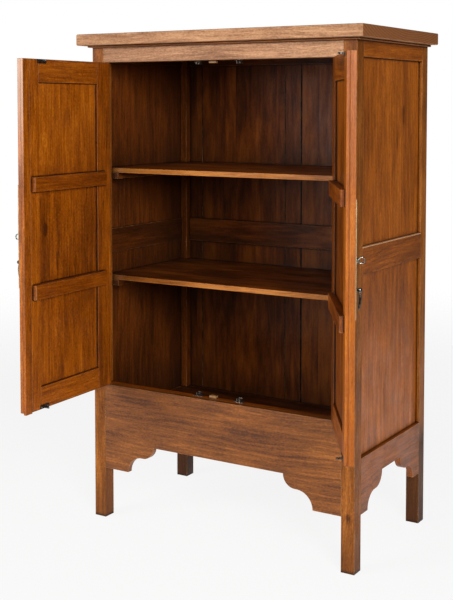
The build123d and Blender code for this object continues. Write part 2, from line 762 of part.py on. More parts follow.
for side, opened in (("left", LEFT_OPEN), ("right", RIGHT_OPEN)):
    sign = door_sign(side)
    plane = door_plane(side, opened)
    face = face_plane(side, opened)

    hinge_recesses = [
        (0, LEAF_LET_IN, 0, LEAF_WIDTH, height - LEAF_HEIGHT / 2, height + LEAF_HEIGHT / 2)
        for height in HINGE_HEIGHTS
    ]
    hinge_stile = stile(side, opened, 0, STILE, STILE - DOOR_TONGUE, hinge_recesses)
    hinge_stile.part.label = f"{side}_hinge_stile"
    export_step(hinge_stile.part, f"parts/{side}_hinge_stile.step")

    rebate_width, rebate_depth = LOCK_REBATES[side]
    rebate_u = DOOR_WIDTH - rebate_width
    rebate = (rebate_u, DOOR_WIDTH, DOOR_THICKNESS - rebate_depth, DOOR_THICKNESS, DOOR_BOTTOM, DOOR_TOP)
    lock_stile = stile(side, opened, DOOR_WIDTH - STILE, DOOR_WIDTH, DOOR_WIDTH - STILE, [rebate])
    lock_stile.part.label = f"{side}_lock_stile"
    export_step(lock_stile.part, f"parts/{side}_lock_stile.step")

    for name, (z0, z1) in DOOR_RAILS.items():
        groove_z = z1 - DOOR_TONGUE if name == "bottom_rail" else z0
        with BuildPart(plane) as door_rail:
            block(sign * STILE, sign * (DOOR_WIDTH - STILE), 0, DOOR_THICKNESS, z0, z1)
            door_tenons(sign, z0, z1)
            block(
                sign * STILE,
                sign * (DOOR_WIDTH - STILE),
                GROOVE_OUTER,
                GROOVE_INNER,
                groove_z,
                groove_z + DOOR_TONGUE,
                Mode.SUBTRACT,
            )
        door_rail.part.label = f"{side}_{name}"
        export_step(door_rail.part, f"parts/{side}_{name}.step")

    with BuildPart(plane) as panel:
        block(
            sign * STILE,
            sign * (DOOR_WIDTH - STILE),
            0,
            PANEL_INNER,
            RAIL_LOW_TOP,
            RAIL_HIGH_BOTTOM,
        )
        block(
            sign * (STILE - DOOR_TONGUE),
            sign * (DOOR_WIDTH - STILE + DOOR_TONGUE),
            GROOVE_OUTER,
            GROOVE_INNER,
            RAIL_LOW_TOP - DOOR_TONGUE,
            RAIL_HIGH_BOTTOM + DOOR_TONGUE,
        )
    panel.part.label = f"{side}_panel"
    export_step(panel.part, f"parts/{side}_panel.step")

    with BuildPart() as battens:
        for middle in BATTEN_MIDDLES:
            batten(plane, sign, middle)
    battens.part.label = f"{side}_battens"
    export_step(battens.part, f"parts/{side}_battens.step")

    with BuildPart() as face_plate:
        with BuildSketch(face):
            with Locations((sign * (DOOR_WIDTH - PLATE_INSET), PLATE_MIDDLE)):
                Circle(PLATE_RADIUS)
            with Locations((sign * (DOOR_WIDTH - PLATE_INSET + PLATE_RADIUS), PLATE_MIDDLE)):
                Rectangle(2 * PLATE_RADIUS, 2 * PLATE_RADIUS, mode=Mode.SUBTRACT)
        extrude(amount=PLATE_THICKNESS)
    face_plate.part.label = f"{side}_face_plate"
    export_step(face_plate.part, f"parts/{side}_face_plate.step")

    with BuildPart() as eye:
        lock_eye(face, sign)
    eye.part.label = f"{side}_lock_eye"
    export_step(eye.part, f"parts/{side}_lock_eye.step")

    # The pull hangs in a round-ended clevis. Its pivot lies along the door's width.
    pivot = fitting_plane(face, sign, PULL_HEIGHT, PULL_PIVOT_REACH)
    ears = PULL_PIVOT_REACH - PLATE_THICKNESS
    drop_top = DROP_START + DROP_NECK_RADIUS
    with BuildPart() as pull_post:
        with Locations(face):
            with Locations((sign * FITTINGS_U, PULL_HEIGHT, PLATE_THICKNESS + PULL_FLANGE / 2)):
                Box(PULL_FLANGE_SIZE, PULL_FLANGE_SIZE, PULL_FLANGE)
        with BuildSketch(pivot.offset(-PULL_WIDTH / 2)):
            Circle(PULL_RADIUS)
            with Locations((-ears / 2, 0)):
                Rectangle(ears, 2 * PULL_RADIUS)
        extrude(amount=PULL_WIDTH)
        with Locations(pivot):
            block(
                -PULL_RADIUS - PULL_SLOT_DEPTH,
                2 * PULL_RADIUS,
                -2 * PULL_RADIUS,
                2 * PULL_RADIUS,
                -PULL_TONGUE / 2 - PULL_SIDE_PLAY,
                PULL_TONGUE / 2 + PULL_SIDE_PLAY,
                Mode.SUBTRACT,
            )
            Cylinder(PULL_PIN_RADIUS, 2 * PULL_WIDTH, mode=Mode.SUBTRACT)
    pull_post.part.label = f"{side}_pull_post"
    export_step(pull_post.part, f"parts/{side}_pull_post.step")

    with BuildPart() as pull_pin:
        with Locations(pivot):
            Cylinder(PULL_PIN_RADIUS, PULL_WIDTH)
    pull_pin.part.label = f"{side}_pull_pin"
    export_step(pull_pin.part, f"parts/{side}_pull_pin.step")

    with BuildPart() as pull_drop:
        with BuildSketch(pivot.offset(-PULL_TONGUE / 2)):
            Circle(PULL_RADIUS)
            with Locations((0, -drop_top / 2)):
                Rectangle(2 * DROP_NECK_RADIUS, drop_top)
        extrude(amount=PULL_TONGUE)
        with BuildSketch(pivot.offset(-DROP_THICKNESS / 2)):
            with Locations((0, -drop_top)):
                Circle(DROP_NECK_RADIUS)
            with Locations((0, DROP_RADIUS - DROP_LENGTH)):
                Circle(DROP_RADIUS)
            make_hull()
        extrude(amount=DROP_THICKNESS)
        with Locations(pivot):
            Cylinder(PULL_PIN_RADIUS + RUNNING_FIT, 2 * PULL_TONGUE, mode=Mode.SUBTRACT)
    pull_drop.part.label = f"{side}_pull_drop"
    export_step(pull_drop.part, f"parts/{side}_pull_drop.step")

    with BuildPart(plane) as strikes:
        middle_u = sign * STRIKE_FROM_HINGE[side]
        strike(plane, middle_u, DOOR_BOTTOM + 7.5, SILL_TOP + CLIP_STRIP + CLIP_HEIGHT / 2 + 2)
        strike(plane, middle_u, DOOR_TOP - 7.5, FRIEZE_BOTTOM - CLIP_STRIP - CLIP_HEIGHT / 2)
    strikes.part.label = f"{side}_strikes"
    export_step(strikes.part, f"parts/{side}_strikes.step")

    with BuildPart() as door_leaves:
        with Locations(pin_plane(side, opened)):
            for height in HINGE_HEIGHTS:
                hinge_leaf(sign, height, DOOR_KNUCKLES, PIN_RADIUS + RUNNING_FIT)
    door_leaves.part.label = f"{side}_hinge_leaves"
    export_step(door_leaves.part, f"parts/{side}_hinge_leaves.step")

# The astragal covers the gap between the doors. It is let into the left door only.
with BuildPart(door_plane("left", LEFT_OPEN)) as astragal:
    block(
        DOOR_WIDTH - ASTRAGAL_LET_IN,
        DOOR_WIDTH + ASTRAGAL_PROUD,
        DOOR_THICKNESS - ASTRAGAL_THICKNESS,
        DOOR_THICKNESS,
        ASTRAGAL_BOTTOM,
        DOOR_TOP,
    )
astragal.part.label = "left_astragal"
export_step(astragal.part, "parts/left_astragal.step")
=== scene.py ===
"""Trastero cabinet: the looks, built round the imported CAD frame. Metres, +Z up, front towards -Y."""

import json
import math
import random

import bmesh
import bpy
from mathutils import Matrix, Vector

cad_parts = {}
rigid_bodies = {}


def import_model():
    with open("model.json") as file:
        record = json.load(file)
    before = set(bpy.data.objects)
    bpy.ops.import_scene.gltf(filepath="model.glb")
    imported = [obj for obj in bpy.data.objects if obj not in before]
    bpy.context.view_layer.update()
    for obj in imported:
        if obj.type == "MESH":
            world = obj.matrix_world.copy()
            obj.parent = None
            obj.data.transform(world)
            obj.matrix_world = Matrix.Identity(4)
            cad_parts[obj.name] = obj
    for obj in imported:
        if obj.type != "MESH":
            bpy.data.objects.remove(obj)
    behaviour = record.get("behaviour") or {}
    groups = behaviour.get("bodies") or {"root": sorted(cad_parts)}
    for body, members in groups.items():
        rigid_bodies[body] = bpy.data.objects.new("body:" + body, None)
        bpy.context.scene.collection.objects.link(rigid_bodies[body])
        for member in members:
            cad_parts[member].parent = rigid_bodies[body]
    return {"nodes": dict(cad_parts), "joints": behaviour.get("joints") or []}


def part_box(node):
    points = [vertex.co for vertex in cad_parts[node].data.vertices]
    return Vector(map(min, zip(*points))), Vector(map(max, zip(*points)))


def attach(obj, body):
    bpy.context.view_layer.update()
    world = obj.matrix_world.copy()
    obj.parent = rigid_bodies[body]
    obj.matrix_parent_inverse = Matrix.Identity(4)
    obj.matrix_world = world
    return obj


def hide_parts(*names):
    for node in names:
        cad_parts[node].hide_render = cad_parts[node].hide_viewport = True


for stray in list(bpy.data.objects):
    bpy.data.objects.remove(stray)
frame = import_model()
NODES = frame["nodes"]
JOINTS = {joint["name"]: joint for joint in frame["joints"]}
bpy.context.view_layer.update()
COLLECTION = bpy.context.scene.collection
UP = Vector((0, 0, 1))
BACKWARD = (0, 1, 0)

# ---------------------------------------------------------------- the camera, as fitted to the photograph
PHOTO_HEIGHT = 600
CAMERA_PLACE = (2.1421, -3.7085, 1.5701)
CAMERA_YAW = 31.633
CAMERA_PITCH = 3.286
FOCAL_PIXELS = 1144.8
HORIZON_ROW = 170.0
SENSOR = 36.0

# ---------------------------------------------------------------- the doors and their fittings
OPEN_ANGLES = {"left": 88.0, "right": 121.0}  # at rest, as in the photograph
PIN_GAP = 0.00075  # pin axis to the hinge stile's edge
PIN_PROUD = 0.0042  # pin axis in front of the door's face
DOOR_THICKNESS = 0.028
HINGE_HEIGHTS = (0.668, 1.121, 1.574)
LEAF_HEIGHT = 0.076
HINGE_SCREW_ROWS = ((-0.026, 0.008), (0.0, 0.016), (0.026, 0.008))  # height, and distance from the knuckle
HINGE_SCREW_SINK = 0.0001
STRIKE_U = {"left": 0.397, "right": 0.4195}
STRIKE_HEIGHTS = (0.526, 1.7165)
STRIKE_PLATE = 0.0015
CLIP_PLATE = 0.0012
CLIP_HALF_WIDTH = 0.022
CLIP_SCREW_INSET = 0.0095
PLATE_SCREWS = (-0.0165, 0.0165)  # screws of a strike or clip, from its middle
STOP_BLOCK_HEIGHT = 0.010
STOP_BLOCK_SCREWS = (-0.011, 0.011)
STOP_BLOCK_SLANT = 0.2  # how far the pair of screws stands askew
PLATE_RADIUS = 0.175  # half-round face plate
PLATE_EDGE = 0.4915
PLATE_MIDDLE = 1.123
PLATE_THICKNESS = 0.003
TACK_INSET = 0.009
TACK_ARC = PLATE_RADIUS - TACK_INSET
TACK_ARC_MIDDLE = PLATE_EDGE - 0.004
ARC_TACKS = 9
ARC_TACKS_INSET = 4  # degrees between the plate's corner and the first tack
EDGE_TACKS = (-0.118, -0.045, 0.045, 0.118)
FITTINGS = 0.4745  # lock eye and pull, from the hinge edge
RING_HEIGHT = 1.120  # 2 mm lower than the CAD's eye
RING_REACH = 0.0188
RING_RADIUS = 0.0088
PULL_HEIGHT = 1.036
PULL_REACH = 0.0135
KNOB_HEIGHT = PULL_HEIGHT - 0.0022
KNOB_REACH = 0.0150
KNOB_RADIUS = 0.0070
KNOB_NECK_END = 0.0048
KNOB_SLOT_HALF = 0.0021
KNOB_WEB_REACH = 0.0056  # how far the web behind the slot stands out of the plate
RIVET_OFFSET = 0.0052


class Door:
    """A door's own axes: u along its width from the hinge edge, v from its outer face inwards, z up."""

    def __init__(self, side):
        self.body = f"{side}_door"
        self.pin = JOINTS[f"{side}_door_hinge"]["pos_m"]
        self.sign = 1 if side == "left" else -1
        turn = math.radians(OPEN_ANGLES[side])
        self.u = Vector((self.sign * math.cos(turn), -math.sin(turn), 0))
        self.v = Vector((self.sign * math.sin(turn), math.cos(turn), 0))
        self.origin = self.pin_at(0) + PIN_GAP * self.u + PIN_PROUD * self.v

    def pin_at(self, z):
        return Vector((self.pin[0], self.pin[1], z))

    def at(self, u, v, z):
        return self.origin + u * self.u + v * self.v + Vector((0, 0, z))


DOORS = {side: Door(side) for side in ("left", "right")}


# ---------------------------------------------------------------- shader helpers
class Tree:
    """A node tree under construction: add() makes a node, sets its inputs and links sockets."""

    def __init__(self, tree):
        self.tree = tree

    def add(self, kind, inputs=None, **settings):
        node = self.tree.nodes.new(kind)
        for key, value in settings.items():
            setattr(node, key, value)
        for key, value in (inputs or {}).items():
            if isinstance(value, bpy.types.NodeSocket):
                self.tree.links.new(value, node.inputs[key])
            else:
                node.inputs[key].default_value = value
        return node

    def math(self, operation, a, b=0.0, c=0.0):
        return self.add("ShaderNodeMath", {0: a, 1: b, 2: c}, operation=operation).outputs[0]

    def total(self, first, *others):
        for other in others:
            first = self.math("ADD", first, other)
        return first

    def product(self, first, *others):
        for other in others:
            first = self.math("MULTIPLY", first, other)
        return first

    def vector(self, operation, a, b=(0, 0, 0)):
        node = self.add("ShaderNodeVectorMath", {0: a, 1: b}, operation=operation)
        return node.outputs[1 if operation in ("LENGTH", "DOT_PRODUCT") else 0]

    def axes(self, vector):
        return self.add("ShaderNodeSeparateXYZ", {0: vector}).outputs

    def noise(self, vector, scale, detail, roughness, coloured=False):
        """Noise over a stretched copy of the vector: scale is its features per metre on each axis."""
        stretched = self.vector("MULTIPLY", vector, scale)
        inputs = {"Vector": stretched, "Scale": 1.0, "Detail": detail, "Roughness": roughness}
        node = self.add("ShaderNodeTexNoise", inputs, noise_dimensions="3D")
        return node.outputs[1 if coloured else 0]

    def span(self, value, low, high, to_low=0.0, to_high=1.0):
        """A smooth step from to_low, where the value is low, to to_high, where it is high."""
        ends = {"From Min": low, "From Max": high, "To Min": to_low, "To Max": to_high}
        inputs = {"Value": value, **ends}
        return self.add("ShaderNodeMapRange", inputs, interpolation_type="SMOOTHSTEP").outputs[0]

    def mix(self, factor, a, b):
        return self.add("ShaderNodeMix", {0: factor, 6: a, 7: b}, data_type="RGBA").outputs[2]

    def ramp(self, factor, stops):
        node = self.add("ShaderNodeValToRGB", {0: factor})
        ramp = node.color_ramp
        while len(ramp.elements) < len(stops):
            ramp.elements.new(0.5)
        for element, (place, rgb) in zip(ramp.elements, stops):
            element.position = place
            element.color = colour(*rgb)
        return node.outputs[0]

    def openness(self, reach):
        """1 on open faces, and less in the corners and hollows that are narrower than the reach."""
        return self.add("ShaderNodeAmbientOcclusion", {"Distance": reach}, samples=8).outputs["AO"]

    def flatness(self, radius):
        """1 on flat faces, and less within the radius of an edge."""
        rounded = self.add("ShaderNodeBevel", {"Radius": radius}, samples=4).outputs[0]
        true_normal = self.add("ShaderNodeNewGeometry").outputs["True Normal"]
        return self.vector("DOT_PRODUCT", rounded, true_normal)

    def end_material(self, inputs):
        shader = self.add("ShaderNodeBsdfPrincipled", inputs)
        self.add("ShaderNodeOutputMaterial", {"Surface": shader.outputs[0]})


def colour(red, green, blue):
    """A linear colour from screen values of 0 to 255."""

    def linear(value):
        return ((value / 255 + 0.055) / 1.055) ** 2.4 if value > 10 else value / 255 / 12.92

    return (linear(red), linear(green), linear(blue), 1.0)


def blank_material(name):
    material = bpy.data.materials.new(name)
    material.use_nodes = True
    material.node_tree.nodes.clear()
    return material, Tree(material.node_tree)


# ---------------------------------------------------------------- the figure of wood
RINGS_PER_METRE = 62
HEART_DEPTH = 0.043
HEART_LEAN = 0.04
RING_CONTRAST = 0.018
BOARD_JUMP = (0.6, 0.9, 3.0)
BOARD_CONTRAST = 0.10
FLECK_DEPTH = 0.07
# features per metre on each axis, detail, roughness
WAVE = ((6, 6, 1.4), 2.0, 0.5)
WAVE_REACH = (0.07, 0.07, 0.0)
RING_DRIFT = ((16, 16, 2.4), 3.0, 0.5)
RING_DRIFT_REACH = 0.045
FIGURE_NOISES = {
    "clouds": ((34, 34, 6), 3.0, 0.6),
    "blotch": ((8, 8, 2.2), 2.0, 0.5),
    "streaks": ((120, 120, 2.2), 3.0, 0.6),
    "fibres": ((430, 430, 9), 2.0, 0.6),
    "speckle": ((260, 260, 120), 2.0, 0.6),
    "dashes": ((1300, 1300, 55), 1.0, 0.5),
    "flecks": ((75, 75, 17), 2.0, 0.6),
}
FINE_WEIGHTS = {"streaks": 0.52, "fibres": 0.50, "speckle": 0.50}


def make_grain_group():
    """Wood figure from a vector in metres whose Z runs along the grain."""
    group = bpy.data.node_groups.new("wood_grain", "ShaderNodeTree")
    group.interface.new_socket("Vector", in_out="INPUT", socket_type="NodeSocketVector")
    for name in ("Board Width", "Clouding", "Fineness"):
        group.interface.new_socket(name, in_out="INPUT", socket_type="NodeSocketFloat")
    for name in ("Tone", "Pores", "Height", "Sheen"):
        group.interface.new_socket(name, in_out="OUTPUT", socket_type="NodeSocketFloat")
    t = Tree(group)
    given = t.add("NodeGroupInput").outputs
    place = given["Vector"]

    # each board of a panel is cut from another part of the tree
    board = t.math("FLOOR", t.math("DIVIDE", t.axes(place)[0], given["Board Width"]))
    shift = t.add("ShaderNodeTexWhiteNoise", {"W": board}, noise_dimensions="1D").outputs
    place = t.vector("ADD", place, t.vector("MULTIPLY", shift["Color"], BOARD_JUMP))

    # slow waves bend the fibres
    wave = t.noise(place, *WAVE, coloured=True)
    bent = t.vector("MULTIPLY", t.vector("SUBTRACT", wave, (0.5, 0.5, 0.5)), WAVE_REACH)
    place = t.vector("ADD", place, bent)

    # growth rings round a heart that leans along the board
    x, y, z = t.axes(place)
    heart_x = t.total(x, t.product(z, HEART_LEAN))
    heart_y = t.total(y, HEART_DEPTH)
    square = t.total(t.product(heart_x, heart_x), t.product(heart_y, heart_y))
    drift = t.product(t.noise(place, *RING_DRIFT), RING_DRIFT_REACH)
    from_heart = t.total(t.math("SQRT", square), drift)
    rings = t.math("SINE", t.product(from_heart, 2 * math.pi * RINGS_PER_METRE))

    noises = {name: t.noise(place, *recipe) for name, recipe in FIGURE_NOISES.items()}
    pores = t.span(noises["dashes"], 0.58, 0.74)
    flecks = t.span(noises["flecks"], 0.60, 0.74)

    def centred(value, weight=1.0):
        return t.product(t.math("SUBTRACT", value, 0.5), weight)

    broad = t.total(centred(noises["clouds"]), centred(noises["blotch"]))
    fine = t.total(*(centred(noises[name], weight) for name, weight in FINE_WEIGHTS.items()))
    tone = t.total(
        t.math("MULTIPLY_ADD", rings, RING_CONTRAST, 0.5),
        t.product(broad, given["Clouding"]),
        t.product(fine, given["Fineness"]),
        t.product(flecks, -FLECK_DEPTH),
        centred(shift["Value"], BOARD_CONTRAST),
    )
    height = t.total(t.product(noises["fibres"], 0.5), t.product(pores, -0.8))
    t.add("NodeGroupOutput", {"Tone": tone, "Pores": pores, "Height": height, "Sheen": noises["clouds"]})
    return group


GRAIN_GROUP = make_grain_group()
GRAIN_TO_Z = {"X": (0, math.radians(-90), 0), "Y": (math.radians(90), 0, 0), "Z": (0, 0, 0)}

# ---------------------------------------------------------------- stain, glaze and wear of wood
# from the deepest figure to the lightest, as screen colours
STAINS = {
    "case": ((0.20, (78, 39, 10)), (0.42, (124, 69, 22)), (0.60, (159, 93, 34)), (0.86, (201, 129, 56))),
    "top": ((0.20, (106, 71, 49)), (0.42, (158, 114, 84)), (0.60, (197, 149, 111)), (0.86, (237, 190, 147))),
    "end": ((0.20, (84, 48, 26)), (0.42, (128, 80, 50)), (0.60, (163, 107, 68)), (0.86, (205, 145, 96))),
    "door": ((0.20, (77, 34, 3)), (0.42, (130, 63, 4)), (0.60, (168, 87, 9)), (0.86, (219, 128, 29))),
    "side": ((0.20, (88, 42, 6)), (0.42, (143, 74, 13)), (0.60, (181, 98, 22)), (0.86, (228, 134, 42))),
    # the inner stain is darker than the outside ones as painted shade inside the cupboard
    "inner": ((0.20, (46, 21, 3)), (0.42, (82, 39, 9)), (0.60, (116, 57, 14)), (0.86, (158, 86, 24))),
    "batten": ((0.20, (66, 27, 1)), (0.42, (117, 54, 2)), (0.60, (151, 75, 4)), (0.86, (200, 115, 13))),
    "pale": ((0.20, (115, 77, 44)), (0.42, (155, 112, 70)), (0.60, (177, 136, 93)), (0.86, (196, 158, 117))),
}
# what covers the stain: its colour, and how much of it at most. Some layers are painted shade or painted
# highlights, as said where they are laid
COVERS = {
    "seam": ((9, 4, 2), 1.0),
    "pore": ((44, 21, 8), 0.42),
    "dirt": ((30, 16, 8), 0.7),
    "brown": ((70, 34, 12), 0.40),
    "painted_sheen": ((244, 208, 182), 0.5),
    "rim": ((34, 16, 6), 0.6),
    "shade": ((44, 19, 4), 0.8),
    "painted_corner_shade": ((24, 11, 4), 0.75),
    "glaze_and_shade": ((22, 9, 3), 1.0),
    "ledge": ((236, 190, 146), 0.85),
    "rubbed_and_highlit": ((206, 146, 92), 1.0),
}
CLOUDING = {"inner": 0.85, "case": 0.45, "top": 0.36, "door": 0.42, "side": 0.38, "batten": 0.45, "pale": 0.3}
FINENESS = {"inner": 0.55, "case": 0.85, "top": 0.75, "door": 0.9, "side": 0.85, "batten": 0.85, "pale": 0.6}
PIECE_FINENESS = {"right_lock_stile": 0.5}
# specular level and weight of the lacquer, by an extra or else by the stain
GLOSS = {"foot": (0.14, 0.0), "ends": (0.0, 0.0), "inner": (0.20, 0.04), "top": (0.08, 0.0)}
USUAL_GLOSS = (0.28, 0.08)
# openness at which glaze and painted shade begin to stay, and at which they are thickest
GLAZE_AND_SHADE_LIMITS = {"door": (0.97, 0.74), "batten": (0.97, 0.74)}
USUAL_GLAZE_AND_SHADE_LIMITS = (0.94, 0.60)
GLAZE_AND_SHADE_SHARES = {"right_lock_stile": 0.2}
GLAZE_AND_SHADE_REACH = 0.007
CORNER_SHADE_LIMITS = (0.85, 0.25)
CORNER_SHADE_REACH = 0.30
RUBBED_AND_HIGHLIT_RADIUS = 0.003
PATCHES = ((38, 38, 22), 2.0, 0.5)
SMUDGES = ((11, 11, 11), 3.0, 0.6)
KNOT_SWIRL = ((70, 70, 40), 2.0, 0.5)
PITS = ((900, 900, 900), 2.0, 0.6)
# the end grain of the top board: its scale and heart on the Y and Z axes, and its rings
END_SCALE, END_HEART, END_RINGS = (0, 34, 90), (0, 1.5, 172), 9.0
# pieces that are darker or lighter than the rest of their kind
TONE_SHIFTS = {
    "side_mid_rail_left": -0.09,
    "side_mid_rail_right": -0.09,
    "side_apron_left": -0.09,
    "side_apron_right": -0.09,
    "side_panel_lower_left": -0.07,
    "side_panel_lower_right": -0.07,
    "side_panel_upper_left": 0.04,
    "side_panel_upper_right": 0.04,
    "post_rear_right": 0.04,
    "post_front_left": -0.05,
    "right_hinge_stile": -0.12,
    "right_panel": -0.09,
    "right_lock_stile": 0.11,
    "right_bottom_rail": -0.08,
    "left_panel": 0.02,
    "left_lock_stile": 0.05,
    "left_top_rail": 0.05,
    "left_battens": 0.05,
    "back_mid_rail": 0.08,
    "back_boards": 0.03,
    "front_apron": -0.07,
    "shelf_lower": 0.12,
    "shelf_upper": 0.15,
}
# piece: (place, stretch of its outline, size, depth of colour)
KNOTS = {
    "left_panel": (
        (DOORS["left"].at(0.375, 0.02, 1.139), (0, 1, 0.55), 0.016, 0.5),
        (DOORS["left"].at(0.31, 0.02, 1.02), (0, 1, 0.16), 0.012, 0.2),
        (DOORS["left"].at(0.29, 0.02, 0.64), (0, 1, 0.3), 0.02, 0.16),
    ),
    "side_panel_upper_right": (
        ((0.532, 0.115, 1.535), (0, 1, 0.22), 0.012, 0.3),
        ((0.532, 0.06, 1.44), (0, 1, 0.14), 0.01, 0.2),
    ),
    "post_front_right": (((0.52, -0.304, 0.19), (1, 1, 0.7), 0.02, 0.25),),
}
# where the seams of the back boards are, and how far to each side their painted shade reaches
BACK_SEAMS = ((-0.435, 0.0033), (-0.043, 0.0030), (0.029, 0.0048))
SEAM_BLUR = 0.0006
# the free edges of the left door, which get a painted sheen towards their top
SHEEN_PAINTED_EDGES = {node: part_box(node)[0].y for node in ("left_lock_stile", "left_astragal")}
SHEEN_PAINTED_DEPTHS = (0.0016, 0.0013)  # from the free edge
MID_RAIL_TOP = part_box("side_mid_rail_right")[1].z

# Places where the finish of a piece changes, in metres: where the change begins and where it is complete.
FADED_TOP_Z, FADED_TOP_TONES = (1.15, 1.62), (-0.07, 0.11)
FADED_FOOT_Z, FADED_FOOT_TONES = (1.00, 0.75), (0.0, 0.06)
LIT_BACK_BOARD_X, LIT_BACK_BOARD_TONES = (0.028, 0.030), (0.0, 0.13)
DIRTY_FOOT_Z = (0.016, 0.003)
BROWN_LEG_Z = (0.20, 0.02)
SHADED_LEG_Z = (0.42, 0.30)
SHEEN_PAINTED_Z = (1.25, 1.75)
LOWER_RIM_Z = (0.5225, 0.5195)
UPPER_RIM_Z = (1.7215, 1.7235)
NICHE_X, NICHE_Y, NICHE_Z = (0.5237, 0.5233), (0.2855, 0.2851), (0.3735, 0.3745)
INSIDE_X = (0.5245, 0.5240)
OUTSIDE_X = (0.5241, 0.5246)
SHELF_FRONT_Y = (-0.2505, -0.2516)
TOP_END_X = (0.5835, 0.5845)
LIT_LEDGE_Z = (MID_RAIL_TOP - 0.003, MID_RAIL_TOP - 0.001)


def own_tone(t, node, extras, tone, position, place):
    """The tone of the figure with what is special to the piece: its shift, knots and faded parts."""
    x, _, z = t.axes(position)
    tone = t.total(tone, TONE_SHIFTS.get(node, 0.0))
    for knot, stretch, size, depth in KNOTS.get(node, ()):
        off = t.vector("MULTIPLY", t.vector("SUBTRACT", position, knot), stretch)
        swirl = t.math("SUBTRACT", t.noise(place, *KNOT_SWIRL), 0.5)
        distance = t.total(t.vector("LENGTH", off), t.product(swirl, size))
        tone = t.math("SUBTRACT", tone, t.span(distance, size, 0.0, 0.0, depth))
    if "faded" in extras:
        # the glaze is thinner towards the top and the bottom
        top = t.span(z, *FADED_TOP_Z, *FADED_TOP_TONES)
        tone = t.total(tone, top, t.span(z, *FADED_FOOT_Z, *FADED_FOOT_TONES))
    if "seams" in extras:
        # painted light: the last board, at the right, is lighter, where the front-left light reaches it
        # through the doorway
        tone = t.total(tone, t.span(x, *LIT_BACK_BOARD_X, *LIT_BACK_BOARD_TONES))
    return tone


def end_tone(t, position):
    """Rings and pits of end grain."""
    from_heart = t.vector("SUBTRACT", t.vector("MULTIPLY", position, END_SCALE), END_HEART)
    arcs = t.math("SINE", t.product(t.vector("LENGTH", from_heart), END_RINGS))
    pits = t.math("MULTIPLY_ADD", t.noise(position, *PITS), 0.5, 0.22)
    return t.math("MULTIPLY_ADD", arcs, 0.05, pits)


def cover(t, name, *amounts):
    """A layer over the stain: how much of it shows, and its colour."""
    rgb, most = COVERS[name]
    return t.product(*amounts, most), colour(*rgb)


def stain_and_painted_light_layers(t, node, stain, extras, tone, pores, position):
    """What covers the plain stain, from the lowest layer up."""
    x, y, z = t.axes(position)
    layers = []
    if "seams" in extras:
        # painted shade in the gaps between the back boards
        for seam, half in BACK_SEAMS:
            off = t.math("ABSOLUTE", t.math("SUBTRACT", x, seam))
            layers.append(cover(t, "seam", t.span(off, half, half - SEAM_BLUR)))
    layers.append(cover(t, "pore", pores))
    if "foot" in extras:
        layers.append(cover(t, "dirt", t.span(z, *DIRTY_FOOT_Z)))
        layers.append(cover(t, "brown", t.span(z, *BROWN_LEG_Z)))
    if node in SHEEN_PAINTED_EDGES:
        # painted sheen: the free edge of the left door is lighter towards its top, where it catches the front
        # light
        begin, complete = (SHEEN_PAINTED_EDGES[node] + depth for depth in SHEEN_PAINTED_DEPTHS)
        layers.append(cover(t, "painted_sheen", t.span(y, begin, complete), t.span(z, *SHEEN_PAINTED_Z)))
    if "rim" in extras:
        rim = t.math("MAXIMUM", t.span(z, *LOWER_RIM_Z), t.span(z, *UPPER_RIM_Z))
        layers.append(cover(t, "rim", rim))
    # painted shade: the rear legs darken below about 0.4 m
    if "shaded" in extras:
        layers.append(cover(t, "shade", t.span(z, *SHADED_LEG_Z)))
    # painted shade: the rear posts' faces inside the cupboard take the darker inner stain
    if "niche" in extras:
        aside = t.span(t.math("ABSOLUTE", x), *NICHE_X)
        niche = t.product(aside, t.span(y, *NICHE_Y), t.span(z, *NICHE_Z))
        layers.append((niche, t.ramp(tone, STAINS["inner"])))
    # painted shade: the sides' inner faces take the darker inner stain
    if "inside" in extras:
        inside = t.span(t.math("ABSOLUTE", x), *INSIDE_X)
        layers.append((inside, t.ramp(tone, STAINS["inner"])))
    if "lipping" in extras:
        layers.append((t.span(y, *SHELF_FRONT_Y), t.ramp(t.total(tone, 0.05), STAINS["case"])))
    if "ends" in extras:
        end = t.span(t.math("ABSOLUTE", x), *TOP_END_X)
        layers.append((end, t.ramp(end_tone(t, position), STAINS["end"])))
    if stain == "inner" or "inside" in extras:
        # painted shade: darker towards the corners of the cupboard
        layers.append(cover(t, "painted_corner_shade", t.span(t.openness(CORNER_SHADE_REACH), *CORNER_SHADE_LIMITS)))
    return layers


def wear_and_painted_light_layers(t, node, stain, extras, position, place):
    """Glaze and painted shade in the corners, a painted highlight on the ledges, and edges worn back to
    lighter wood with a painted highlight, the last layer.
    """
    openness = t.openness(GLAZE_AND_SHADE_REACH)
    patchy = t.noise(place, *PATCHES)
    upward = t.axes(t.add("ShaderNodeNewGeometry").outputs["Normal"])[2]
    # glaze and painted shade gather in hollows, less on faces that look up, which are lit
    glaze_and_shade = t.product(
        t.span(openness, *GLAZE_AND_SHADE_LIMITS.get(stain, USUAL_GLAZE_AND_SHADE_LIMITS)),
        t.span(patchy, 0.15, 0.6, 0.6, 1.0),
        t.span(upward, 0.3, 0.8, 0.92, 0.3),
    )
    layers = [cover(t, "glaze_and_shade", glaze_and_shade, GLAZE_AND_SHADE_SHARES.get(node, 1.0))]
    # painted highlight on the upward faces and the top edge of the side mid rails, outside only
    if "ledge" in extras:
        x, _, z = t.axes(position)
        top = t.math("MAXIMUM", t.span(upward, 0.5, 0.9), t.span(z, *LIT_LEDGE_Z))
        layers.append(cover(t, "ledge", top, t.span(t.math("ABSOLUTE", x), *OUTSIDE_X)))
    # edges worn back to lighter wood, which also paints the highlights that they catch
    rubbed_and_highlit = t.product(
        t.span(t.flatness(RUBBED_AND_HIGHLIT_RADIUS), 0.995, 0.80),
        t.span(openness, 0.40, 0.75),
        t.span(patchy, 0.35, 0.65, 0.2, 0.85),
    )
    return layers + [cover(t, "rubbed_and_highlit", rubbed_and_highlit)]


